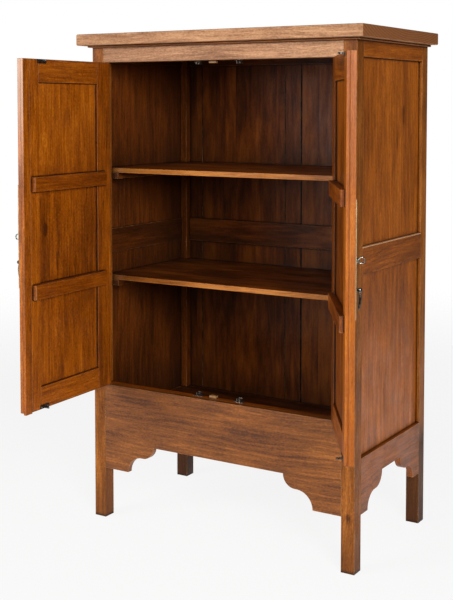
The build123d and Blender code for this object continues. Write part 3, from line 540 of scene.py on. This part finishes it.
def wood(node, stain, grain, turn, seed, board_width, extras):
    """Stained, satin-lacquered wood. grain is the axis that it runs along, once turned about Z."""
    material, t = blank_material(f"wood_{node}")
    position = t.add("ShaderNodeTexCoord").outputs["Object"]
    turned = {"Vector": position, "Rotation": (0, 0, math.radians(turn))}
    place = t.add("ShaderNodeMapping", turned).outputs[0]
    stood = {"Vector": place, "Rotation": GRAIN_TO_Z[grain], "Location": seed}
    inputs = {
        "Vector": t.add("ShaderNodeMapping", stood).outputs[0],
        "Board Width": board_width,
        "Clouding": CLOUDING[stain],
        "Fineness": PIECE_FINENESS.get(node, FINENESS[stain]),
    }
    figure = t.add("ShaderNodeGroup", inputs, node_tree=GRAIN_GROUP).outputs
    tone = own_tone(t, node, extras, figure["Tone"], position, place)
    layers = stain_and_painted_light_layers(t, node, stain, extras, tone, figure["Pores"], position)
    layers += wear_and_painted_light_layers(t, node, stain, extras, position, place)
    look = t.ramp(tone, STAINS[stain])
    for amount, tint in layers:
        look = t.mix(amount, look, tint)

    smudges = t.noise(place, *SMUDGES)
    rubbed_and_highlit = layers[-1][0]
    roughness = t.total(
        t.math("MULTIPLY_ADD", figure["Sheen"], -0.14, 0.50),
        t.span(smudges, 0.35, 0.7, -0.05, 0.09),
        t.product(rubbed_and_highlit, 0.12),
    )
    relief = {"Height": figure["Height"], "Strength": 0.35, "Distance": 0.0006}
    specular, coat = GLOSS.get(next((extra for extra in extras if extra in GLOSS), stain), USUAL_GLOSS)
    t.end_material({
        "Base Color": look,
        "Roughness": roughness,
        "Normal": t.add("ShaderNodeBump", relief).outputs[0],
        "Specular IOR Level": specular,
        "Coat Weight": coat,
        "Coat Roughness": 0.3,
    })
    return material


# ---------------------------------------------------------------- metal
SCRATCHES = ((2600, 2600, 180), 1.0, 0.5)
SCRATCH_DEPTH = 0.25
POLISHED_RADIUS = 0.0009
PIT_SHADE = 0.45  # of the tarnish's colour


def metal(name, base, tarnish, roughness, extent, cloud_scale=150, pitting=0.35):
    """Cast or pressed metal: tarnish of some extent, brighter rubbed edges and fine scratches."""
    material, t = blank_material(name)
    place = t.add("ShaderNodeTexCoord").outputs["Object"]
    cloud = t.noise(place, (cloud_scale,) * 3, 4.0, 0.65)
    grit = t.noise(place, *PITS)
    scratches = t.noise(place, *SCRATCHES)
    tarnished = t.span(cloud, 0.62 - extent * 0.3, 0.82 - extent * 0.3)
    rubbed_and_highlit = t.span(t.flatness(POLISHED_RADIUS), 0.99, 0.80, 0.0, 0.8)
    tarnished = t.product(tarnished, t.math("SUBTRACT", 1.0, rubbed_and_highlit))
    look = t.mix(tarnished, colour(*base), colour(*tarnish))
    pits = t.span(grit, 0.56, 0.72, 0.0, pitting)
    look = t.mix(pits, look, colour(*(value * PIT_SHADE for value in tarnish)))
    height = t.total(t.product(scratches, SCRATCH_DEPTH), t.product(grit, 0.6))
    relief = {"Height": height, "Strength": 0.3, "Distance": 0.0003}
    t.end_material({
        "Base Color": look,
        "Metallic": 1.0,
        "Roughness": t.total(t.span(tarnished, 0.0, 1.0, *roughness), t.span(grit, 0.4, 0.7, -0.04, 0.08)),
        "Normal": t.add("ShaderNodeBump", relief).outputs[0],
    })
    return material


PEWTER = metal("pewter_aged", (158, 158, 150), (54, 50, 46), (0.28, 0.56), 0.56)
PLATE = metal("pewter_dull", (166, 142, 108), (147, 125, 94), (0.40, 0.62), 0.6, cloud_scale=26, pitting=0.12)
STEEL = metal("steel_dull", (172, 164, 154), (58, 50, 44), (0.32, 0.58), 0.65)
DARK_PEWTER = metal("pewter_dark", (116, 113, 108), (13, 12, 11), (0.24, 0.46), 0.7)
BRASS = metal("brass_worn", (186, 152, 92), (104, 76, 40), (0.28, 0.55), 0.5)
IRON = metal("iron_dark", (100, 94, 88), (24, 21, 19), (0.38, 0.64), 0.66)

# ---------------------------------------------------------------- finish of the CAD nodes
# node: (stain, grain axis, extras)
CASE_WOODS = {
    "front_frieze_rail": ("top", "X"),
    "front_apron": ("case", "X"),
    "front_sill": ("batten", "X"),
    "back_top_rail": ("inner", "X"),
    "back_mid_rail": ("inner", "X"),
    "back_bottom_rail": ("inner", "X"),
    "back_boards": ("inner", "Z", "seams"),
    "top_board": ("top", "X", "ends"),
    "top_moulding": ("case", "X"),
    "bottom_board": ("inner", "X"),
    "shelf_lower": ("inner", "X", "lipping"),
    "shelf_upper": ("inner", "X", "lipping"),
    "shelf_cleats": ("inner", "Y"),
    "stop_blocks": ("pale", "X"),
}
ONE_BOARD = 9.0  # wider than any piece
BOARD_WIDTHS = {"back_boards": 0.19, "panel": 0.118}
for side in DOORS:
    CASE_WOODS[f"post_front_{side}"] = ("case", "Z", "foot")
    CASE_WOODS[f"post_rear_{side}"] = ("case", "Z", "foot", "niche", "shaded")
    CASE_WOODS[f"side_top_rail_{side}"] = ("side", "Y", "inside")
    CASE_WOODS[f"side_mid_rail_{side}"] = ("side", "Y", "inside", "ledge")
    CASE_WOODS[f"side_apron_{side}"] = ("side", "Y")
    for field in ("upper", "lower"):
        CASE_WOODS[f"side_panel_{field}_{side}"] = ("side", "Z", "inside")
        BOARD_WIDTHS[f"side_panel_{field}_{side}"] = 0.17
# part of a door: (stain, grain axis, extras)
DOOR_WOODS = {
    "hinge_stile": ("door", "Z", "rim"),
    "lock_stile": ("door", "Z", "rim"),
    "top_rail": ("door", "X", "rim"),
    "bottom_rail": ("door", "X", "rim"),
    "panel": ("door", "Z", "faded"),
    "battens": ("batten", "X"),
    "astragal": ("door", "Z"),
}
DOOR_TURNS = {"left": OPEN_ANGLES["left"], "right": 180 - OPEN_ANGLES["right"]}
METALS = {
    "hinge_frame_leaves": BRASS,
    "hinge_pins": STEEL,
    "catch_clips_top": STEEL,
    "catch_clips_bottom": STEEL,
    "hinge_leaves": BRASS,
    "strikes": IRON,
    "face_plate": PLATE,
    "lock_eye": PEWTER,
    "pull_post": PEWTER,
    "pull_pin": STEEL,
    "pull_drop": PEWTER,
}


def paint(obj, material):
    """Gives an object one material, in every slot that it has."""
    if not obj.material_slots:
        obj.data.materials.append(material)
    for slot in obj.material_slots:
        slot.material = material


seeds = random.Random(7)
for node, obj in sorted(NODES.items()):
    seed = tuple(seeds.uniform(-3, 3) for _ in range(3))
    side, _, part = node.partition("_")
    if node in CASE_WOODS:
        (stain, grain, *extras), turn, kind = CASE_WOODS[node], 0.0, node
    elif part in DOOR_WOODS:
        (stain, grain, *extras), turn, kind = DOOR_WOODS[part], DOOR_TURNS[side], part
    else:
        paint(obj, METALS.get(node) or METALS[part])
        continue
    paint(obj, wood(node, stain, grain, turn, seed, BOARD_WIDTHS.get(kind, ONE_BOARD), extras))


# ---------------------------------------------------------------- eased edges on the CAD nodes
WOOD_EASE = 0.0012
OTHER_EASES = {"top_board": 0.003, "front_apron": 0.0016, "stop_blocks": 0.001}
METAL_EASE = 0.0006
WOOD_EDGE_ANGLE, METAL_EDGE_ANGLE = 50, 35


def make_soften_group():
    """Joins the facets of an imported mesh and shades them smooth, so that edges can be eased."""
    group = bpy.data.node_groups.new("join_facets", "GeometryNodeTree")
    group.interface.new_socket("Geometry", in_out="INPUT", socket_type="NodeSocketGeometry")
    group.interface.new_socket("Geometry", in_out="OUTPUT", socket_type="NodeSocketGeometry")
    t = Tree(group)
    source = t.add("NodeGroupInput").outputs[0]
    merged = t.add("GeometryNodeMergeByDistance", {"Geometry": source, "Distance": 0.00001}).outputs[0]
    smooth = t.add("GeometryNodeSetShadeSmooth", {"Geometry": merged, "Shade Smooth": True}).outputs[0]
    t.add("NodeGroupOutput", {0: smooth})
    return group


SOFTEN_GROUP = make_soften_group()


def ease(obj, width, angle):
    """Rounds the edges of a piece by modifiers; its mesh stays as it is."""
    join = obj.modifiers.new("join_facets", "NODES")
    join.node_group = SOFTEN_GROUP
    bevel = obj.modifiers.new("eased_edges", "BEVEL")
    bevel.width = width
    bevel.segments = 2
    bevel.limit_method = "ANGLE"
    bevel.angle_limit = math.radians(angle)
    bevel.use_clamp_overlap = True
    bevel.harden_normals = False
    normals = obj.modifiers.new("flat_faces_flat", "WEIGHTED_NORMAL")
    normals.keep_sharp = False
    normals.weight = 100


for node, obj in NODES.items():
    if node in CASE_WOODS or node.partition("_")[2] in DOOR_WOODS:
        ease(obj, OTHER_EASES.get(node, WOOD_EASE), WOOD_EDGE_ANGLE)
    else:
        ease(obj, METAL_EASE, METAL_EDGE_ANGLE)


# ---------------------------------------------------------------- modelling helpers
def frame_at(origin, outward, up=UP):
    """A matrix at origin whose Z is outward and whose Y is as near up as it can be."""
    z = Vector(outward).normalized()
    x = Vector(up).cross(z).normalized()
    return Matrix.Translation(origin) @ Matrix((x, z.cross(x), z)).transposed().to_4x4()


def plate_frame(door, u, z):
    """A frame on the outer side of a door's face plate."""
    return frame_at(door.at(u, -PLATE_THICKNESS, z), -door.v)


def ring(bm, steps, place):
    """A ring of vertices; place turns the cosine and sine of an angle into a point."""
    angles = (2 * math.pi * k / steps for k in range(steps))
    return [bm.verts.new(place(math.cos(angle), math.sin(angle))) for angle in angles]


def bands(bm, rings):
    """Joins each ring to the next one by a band of faces."""
    for low, high in zip(rings, rings[1:]):
        for k in range(len(low)):
            n = (k + 1) % len(low)
            bm.faces.new((low[k], low[n], high[n], high[k]))


def lathe(bm, matrix, profile, steps):
    """Turns (radius, height) points, the last of them on the axis, about the Z axis of the matrix."""
    *outline, (_, tip_height) = profile
    rings = [
        ring(bm, steps, lambda c, s: matrix @ Vector((radius * c, radius * s, height)))
        for radius, height in outline
    ]
    tip = bm.verts.new(matrix @ Vector((0, 0, tip_height)))
    bands(bm, rings)
    last = rings[-1]
    for k in range(steps):
        bm.faces.new((last[k], last[(k + 1) % steps], tip))
    bm.faces.new(list(reversed(rings[0])))


def finish_piece(name, bm, material, body, smooth=40):
    """Turns a bmesh into a named piece that rides on a body."""
    bmesh.ops.recalc_face_normals(bm, faces=bm.faces)
    mesh = bpy.data.meshes.new(name)
    bm.to_mesh(mesh)
    bm.free()
    mesh.shade_smooth()
    mesh.set_sharp_from_angle(angle=math.radians(smooth))
    obj = bpy.data.objects.new(name, mesh)
    COLLECTION.objects.link(obj)
    paint(obj, material)
    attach(obj, body)
    return obj


# ---------------------------------------------------------------- small fasteners
# radius of the head, and how far it stands out
SCREWS = {
    "hinge": (0.0031, 0.00006),
    "strike": (0.0034, 0.0006),
    "clip": (0.0032, 0.0006),
    "stop": (0.003, 0.0004),
}
TACK = (0.0042, 0.0019)
RIVET = (0.0024, 0.0012)
EYE_BOSS = (
    (0.0084, 0.0), (0.0088, 0.0010), (0.0084, 0.0022), (0.0070, 0.0030),
    (0.0062, 0.0046), (0.0050, 0.0062), (0.0034, 0.0072), (0.0, 0.0074),
)
PIN_CAP = ((0.0036, 0.0), (0.0037, 0.0005), (0.0031, 0.0014), (0.0016, 0.0021), (0.0, 0.0023))


def slotted_screw(bm, matrix, radius, rise):
    """A countersunk screw head, slightly domed, with a real slot across it."""
    half_slot = radius * 0.13
    flat = 0.55  # of the radius, the part that isn't bevelled
    depth = rise * 0.9 + radius * 0.12
    steps = 12
    for side_sign in (-1, 1):
        start = math.asin(half_slot / radius)
        arc = [start + (math.pi - 2 * start) * k / steps for k in range(steps + 1)]
        rim = [Vector((radius * math.cos(a), side_sign * radius * math.sin(a), 0)) for a in arc]
        inner = [Vector((p.x * flat, max(abs(p.y) * flat, half_slot) * side_sign, rise)) for p in rim]
        lower = [Vector((p.x, p.y, -depth)) for p in rim]
        rows = [[bm.verts.new(matrix @ p) for p in row] for row in (lower, rim, inner)]
        for low, high in zip(rows, rows[1:]):
            for k in range(steps):
                bm.faces.new((low[k], low[k + 1], high[k + 1], high[k]))
        bm.faces.new(rows[2])
        bm.faces.new((rows[0][0], rows[1][0], rows[2][0], rows[2][-1], rows[1][-1], rows[0][-1]))
    floor = [(-radius, -half_slot), (radius, -half_slot), (radius, half_slot), (-radius, half_slot)]
    bm.faces.new([bm.verts.new(matrix @ Vector((x * 0.98, y, -depth * 0.6))) for x, y in floor])


turns = random.Random(11)


def drive_screw(bm, kind, spot, outward, up=UP):
    """Sets a screw of a kind at a spot, its slot at a random angle."""
    turn = Matrix.Rotation(turns.uniform(0, math.pi), 4, "Z")
    slotted_screw(bm, frame_at(spot, outward, up) @ turn, *SCREWS[kind])


def domed_head(bm, matrix, radius, rise):
    """The round head of a tack or rivet, sunk a little into what it holds."""
    steps, sunk = 5, 0.0002
    angles = [math.pi / 2 * k / steps for k in range(steps)]
    dome = [(radius * math.cos(angle), rise * math.sin(angle)) for angle in angles]
    lathe(bm, matrix, [(radius, -sunk), *dome, (0.0, rise)], steps=16)


# hinge screws, three to a leaf, on the leaf's open side
for side, door in DOORS.items():
    leaves = {
        "frame": ("carcass", Vector((door.sign, 0, 0)), Vector(BACKWARD)),
        "door": (door.body, -door.u, door.v),
    }
    for leaf, (body, outward, along) in leaves.items():
        bm = bmesh.new()
        for height in HINGE_HEIGHTS:
            for row, step in HINGE_SCREW_ROWS:
                spot = door.pin_at(height + row) + (PIN_PROUD + step) * along - HINGE_SCREW_SINK * outward
                drive_screw(bm, "hinge", spot, outward)
        finish_piece(f"{side}_hinge_{leaf}_screws", bm, BRASS, body)

# screws of the strikes
for side, door in DOORS.items():
    bm = bmesh.new()
    for height in STRIKE_HEIGHTS:
        for offset in PLATE_SCREWS:
            spot = door.at(STRIKE_U[side] + offset, DOOR_THICKNESS + STRIKE_PLATE, height)
            drive_screw(bm, "strike", spot, door.v)
    finish_piece(f"{side}_strike_screws", bm, STEEL, door.body)

# screws of the catch clips and of the stop blocks
for tag, up in (("top", -1), ("bottom", 1)):
    low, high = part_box(f"catch_clips_{tag}")
    face = (high.z - CLIP_PLATE) if up < 0 else (low.z + CLIP_PLATE)
    bm = bmesh.new()
    for middle in (low.x + CLIP_HALF_WIDTH, high.x - CLIP_HALF_WIDTH):
        for offset in PLATE_SCREWS:
            spot = Vector((middle + offset, low.y + CLIP_SCREW_INSET, face))
            drive_screw(bm, "clip", spot, (0, 0, up), BACKWARD)
    finish_piece(f"catch_screws_{tag}", bm, STEEL, "carcass")
low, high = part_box("stop_blocks")
bm = bmesh.new()
for height, up in ((low.z + STOP_BLOCK_HEIGHT, 1), (high.z - STOP_BLOCK_HEIGHT, -1)):
    for offset in STOP_BLOCK_SCREWS:
        x, y = (low.x + high.x) / 2 + offset, (low.y + high.y) / 2 + offset * STOP_BLOCK_SLANT
        drive_screw(bm, "stop", Vector((x, y, height)), (0, 0, up), BACKWARD)
finish_piece("stop_block_screws", bm, IRON, "carcass")

# tacks round the face plates, bosses under the lock eyes, rivets on the pulls' pins
for side, door in DOORS.items():
    tacks = []
    for k in range(ARC_TACKS):
        angle = math.radians(90 + ARC_TACKS_INSET + (180 - 2 * ARC_TACKS_INSET) * k / (ARC_TACKS - 1))
        tacks.append((TACK_ARC_MIDDLE + TACK_ARC * math.cos(angle), TACK_ARC * math.sin(angle)))
    tacks += [(PLATE_EDGE - TACK_INSET, height) for height in EDGE_TACKS]
    bm = bmesh.new()
    for u, height in tacks:
        domed_head(bm, plate_frame(door, u, PLATE_MIDDLE + height), *TACK)
    finish_piece(f"{side}_plate_tacks", bm, PEWTER, door.body)

    bm = bmesh.new()
    lathe(bm, plate_frame(door, FITTINGS, RING_HEIGHT), EYE_BOSS, steps=32)
    finish_piece(f"{side}_eye_boss", bm, PEWTER, door.body, smooth=50)

    bm = bmesh.new()
    for end in (-1, 1):
        spot = door.at(FITTINGS + end * RIVET_OFFSET, -PULL_REACH, PULL_HEIGHT)
        domed_head(bm, frame_at(spot, end * door.u), *RIVET)
    finish_piece(f"{side}_pull_rivets", bm, PEWTER, door.body)

# caps on the hinge pins
bm = bmesh.new()
for door in DOORS.values():
    for height in HINGE_HEIGHTS:
        for end in (-1, 1):
            spot = door.pin_at(height + end * LEAF_HEIGHT / 2)
            lathe(bm, frame_at(spot, (0, 0, end), BACKWARD), PIN_CAP, steps=18)
finish_piece("hinge_pin_caps", bm, BRASS, "carcass")


# ---------------------------------------------------------------- lock eyes
RING_NECK = ((0.0044, 0.0042), (0.0032, 0.0056), (0.0029, 0.0068), (0.0034, 0.0080), (0.0, 0.0090))
RING_STEPS, BAR_STEPS = 48, 14
RING_BAR = 0.0021
RING_ROOT = 0.0005  # how much thicker the bar is where it meets the neck


def lock_ring(side, door):
    """A ring forged from round bar, standing across the door on a short neck."""
    middle = door.at(FITTINGS, -RING_REACH, RING_HEIGHT)
    bm = bmesh.new()
    loops = []
    for k in range(RING_STEPS):
        angle = 2 * math.pi * k / RING_STEPS
        spoke = math.cos(angle) * -door.v + math.sin(angle) * UP
        bar = RING_BAR + RING_ROOT * max(0.0, -math.cos(angle)) ** 4
        centre = middle + RING_RADIUS * spoke
        loops.append(ring(bm, BAR_STEPS, lambda c, s: centre + bar * (c * spoke + s * door.u)))
    bands(bm, loops + loops[:1])
    lathe(bm, plate_frame(door, FITTINGS, RING_HEIGHT), RING_NECK, steps=20)
    obj = finish_piece(f"{side}_eye_ring", bm, PEWTER, door.body, smooth=60)
    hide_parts(f"{side}_lock_eye")


# ---------------------------------------------------------------- posts of the pulls
KNOB_FOOT = (
    (0.0082, 0.0), (0.0086, 0.0009), (0.0082, 0.0019), (0.0064, 0.0027), (0.0046, 0.0034), (0.0034, 0.0044),
)
BALL_STEPS = 12


def knob_profile():
    """Boss, neck and ball of a pull's post, from the plate outwards."""
    centre = KNOB_REACH - PLATE_THICKNESS
    angles = [math.pi * (1 - k / BALL_STEPS) for k in range(1, BALL_STEPS)]
    ball = [(KNOB_RADIUS * math.sin(angle), centre + KNOB_RADIUS * math.cos(angle)) for angle in angles]
    ball = [point for point in ball if point[1] > KNOB_NECK_END]
    return [*KNOB_FOOT, *ball, (0.0, centre + KNOB_RADIUS)]


def cut_away(bm, point, normal):
    """Removes what lies on the normal's side of a plane and closes the cut."""
    geometry = bm.verts[:] + bm.edges[:] + bm.faces[:]
    cut = bmesh.ops.bisect_plane(bm, geom=geometry, plane_co=point, plane_no=normal, clear_outer=True)
    edges = [item for item in cut["geom_cut"] if isinstance(item, bmesh.types.BMEdge)]
    bmesh.ops.contextual_create(bm, geom=edges)


def pull_knob(side, door):
    """A turned post whose ball is slotted for the drop: two cheeks and a web behind them."""
    foot = door.at(FITTINGS, -PLATE_THICKNESS, KNOB_HEIGHT)
    near, far = foot + KNOB_SLOT_HALF * door.u, foot - KNOB_SLOT_HALF * door.u
    whole = bmesh.new()
    for cuts in (
        ((near, -door.u),),
        ((far, door.u),),
        ((near, door.u), (far, -door.u), (foot - KNOB_WEB_REACH * door.v, -door.v)),
    ):
        bm = bmesh.new()
        lathe(bm, frame_at(foot, -door.v), knob_profile(), steps=36)
        bmesh.ops.recalc_face_normals(bm, faces=bm.faces)
        for point, normal in cuts:
            cut_away(bm, point, normal)
        shell = bpy.data.meshes.new("knob_part")
        bm.to_mesh(shell)
        bm.free()
        whole.from_mesh(shell)
        bpy.data.meshes.remove(shell)
    obj = finish_piece(f"{side}_pull_knob", whole, DARK_PEWTER, door.body)
    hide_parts(f"{side}_pull_post")


# ---------------------------------------------------------------- the drop pulls
# distance below the pivot, how far it curves out, half width and half thickness
DROP_STATIONS = (
    (0.0038, 0.0000, 0.0022, 0.0014),
    (0.0065, 0.0000, 0.0026, 0.0015),
    (0.0095, 0.0004, 0.0033, 0.0017),
    (0.0130, 0.0011, 0.0038, 0.0022),
    (0.0200, 0.0019, 0.0043, 0.0027),
    (0.0300, 0.0020, 0.0043, 0.0030),
    (0.0400, 0.0012, 0.0039, 0.0030),
    (0.0490, 0.0003, 0.0034, 0.0027),
    (0.0550, -0.0003, 0.0028, 0.0024),
    (0.0588, -0.0005, 0.0021, 0.0018),
    (0.0606, -0.0006, 0.0010, 0.0009),
)
DROP_STEPS, EYE_STEPS = 18, 28
EYE_HOLE, EYE_WALL, EYE_HALF = 0.00155, 0.0044, 0.0014
EYE_ROUND, EYE_BEVEL = 0.0006, 0.0005
DROP_EYE = (
    (EYE_HOLE, -EYE_HALF),
    (EYE_HOLE, EYE_HALF),
    (EYE_WALL - EYE_ROUND, EYE_HALF),
    (EYE_WALL, EYE_HALF - EYE_BEVEL),
    (EYE_WALL, EYE_BEVEL - EYE_HALF),
    (EYE_WALL - EYE_ROUND, -EYE_HALF),
)


def forged_drop(side, door):
    """A drop forged from one bar: an eye in the post's slot and a slightly curved body with a round tip."""
    pivot = Vector(JOINTS[f"{side}_pull_pivot"]["pos_m"])
    out = -door.v
    bm = bmesh.new()
    rings = []
    for drop, bow, half_width, half_thickness in DROP_STATIONS:
        centre = pivot - Vector((0, 0, drop)) + bow * out
        rings.append(ring(
            bm, DROP_STEPS, lambda c, s: centre + half_width * c * out + half_thickness * s * door.u
        ))
    bands(bm, rings)
    bm.faces.new(rings[-1])
    bm.faces.new(list(reversed(rings[0])))
    axis = frame_at(pivot, door.u)
    loops = [
        ring(bm, EYE_STEPS, lambda c, s: axis @ Vector((radius * c, radius * s, height)))
        for radius, height in DROP_EYE
    ]
    bands(bm, loops + loops[:1])
    obj = finish_piece(f"{side}_pull_handle", bm, DARK_PEWTER, f"{side}_pull", smooth=50)
    subdivide = obj.modifiers.new("rounder", "SUBSURF")
    subdivide.levels = subdivide.render_levels = 1
    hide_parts(f"{side}_pull_drop")


for side, door in DOORS.items():
    lock_ring(side, door)
    pull_knob(side, door)
    forged_drop(side, door)


# ---------------------------------------------------------------- stage, light and camera
FLOOR_RADIUS = 9
FLOOR_FADE = (2.2, 6.0)
FLOOR_GLOW = 0.88
FLOOR_PAINTS = ((0.90, 0.895, 0.89, 1), (0.93, 0.93, 0.93, 1))
FLOOR_CLOUDS = ((0.8, 0.8, 0.8), 3.0, 0.5)
AMBIENT = 0.05
# name: (place, what it points at, size, radiance)
LIGHTS = {
    "key": ((3.9, -4.2, 2.8), (0, -0.2, 1.1), (2.3, 2.2), 16.5),
    "left_softbox": ((-2.8, -4.9, 2.2), (0, -0.2, 1.3), (3.0, 2.6), 7.2),
}


def soft_floor():
    """A pale studio floor that fades into the white of the studio a few metres out."""
    bm = bmesh.new()
    bmesh.ops.create_circle(bm, cap_ends=True, segments=96, radius=FLOOR_RADIUS)
    mesh = bpy.data.meshes.new("studio_floor")
    bm.to_mesh(mesh)
    bm.free()
    obj = bpy.data.objects.new("studio_floor", mesh)
    COLLECTION.objects.link(obj)
    material, t = blank_material("studio_floor_paint")
    place = t.add("ShaderNodeTexCoord").outputs["Object"]
    tint = t.mix(t.span(t.noise(place, *FLOOR_CLOUDS), 0.3, 0.7), *FLOOR_PAINTS)
    matt = {"Base Color": tint, "Roughness": 0.9, "Specular IOR Level": 0.1}
    shader = t.add("ShaderNodeBsdfPrincipled", matt)
    glow = t.add("ShaderNodeEmission", {"Color": (1, 1, 1, 1), "Strength": 1.0})
    lit = t.add("ShaderNodeMixShader", {0: FLOOR_GLOW, 1: shader.outputs[0], 2: glow.outputs[0]})
    clear = t.add("ShaderNodeBsdfTransparent")
    fade = t.span(t.vector("LENGTH", place), *FLOOR_FADE)
    both = t.add("ShaderNodeMixShader", {0: fade, 1: lit.outputs[0], 2: clear.outputs[0]})
    t.add("ShaderNodeOutputMaterial", {"Surface": both.outputs[0]})
    obj.data.materials.append(material)


def white_studio():
    """A studio that is white to look at, but lights the object from its lamps more than from its walls."""
    world = bpy.data.worlds.new("studio")
    bpy.context.scene.world = world
    world.use_nodes = True
    world.node_tree.nodes.clear()
    t = Tree(world.node_tree)
    seen = t.add("ShaderNodeLightPath").outputs["Is Camera Ray"]
    strength = t.math("MULTIPLY_ADD", seen, 1.0 - AMBIENT, AMBIENT)
    walls = t.add("ShaderNodeBackground", {"Color": (1, 1, 1, 1), "Strength": strength})
    t.add("ShaderNodeOutputWorld", {"Surface": walls.outputs[0]})


soft_floor()
white_studio()
for name, (place, target, size, radiance) in LIGHTS.items():
    light = bpy.data.lights.new(name, "AREA")
    light.shape = "RECTANGLE"
    light.size, light.size_y = size
    light.energy = radiance * math.pi * size[0] * size[1]
    lamp = bpy.data.objects.new(name, light)
    lamp.location = place
    lamp.rotation_euler = (Vector(target) - Vector(place)).to_track_quat("-Z", "Y").to_euler()
    COLLECTION.objects.link(lamp)

camera = bpy.data.cameras.new("camera")
camera.sensor_fit = "AUTO"
camera.sensor_width = SENSOR
camera.lens = FOCAL_PIXELS * SENSOR / PHOTO_HEIGHT
camera.shift_y = -(PHOTO_HEIGHT / 2 - HORIZON_ROW) / PHOTO_HEIGHT
camera_object = bpy.data.objects.new("camera", camera)
camera_object.location = CAMERA_PLACE
camera_object.rotation_euler = (math.radians(90 - CAMERA_PITCH), 0, math.radians(CAMERA_YAW))
COLLECTION.objects.link(camera_object)
bpy.context.scene.camera = camera_object
bpy.context.scene.view_settings.view_transform = "Standard"
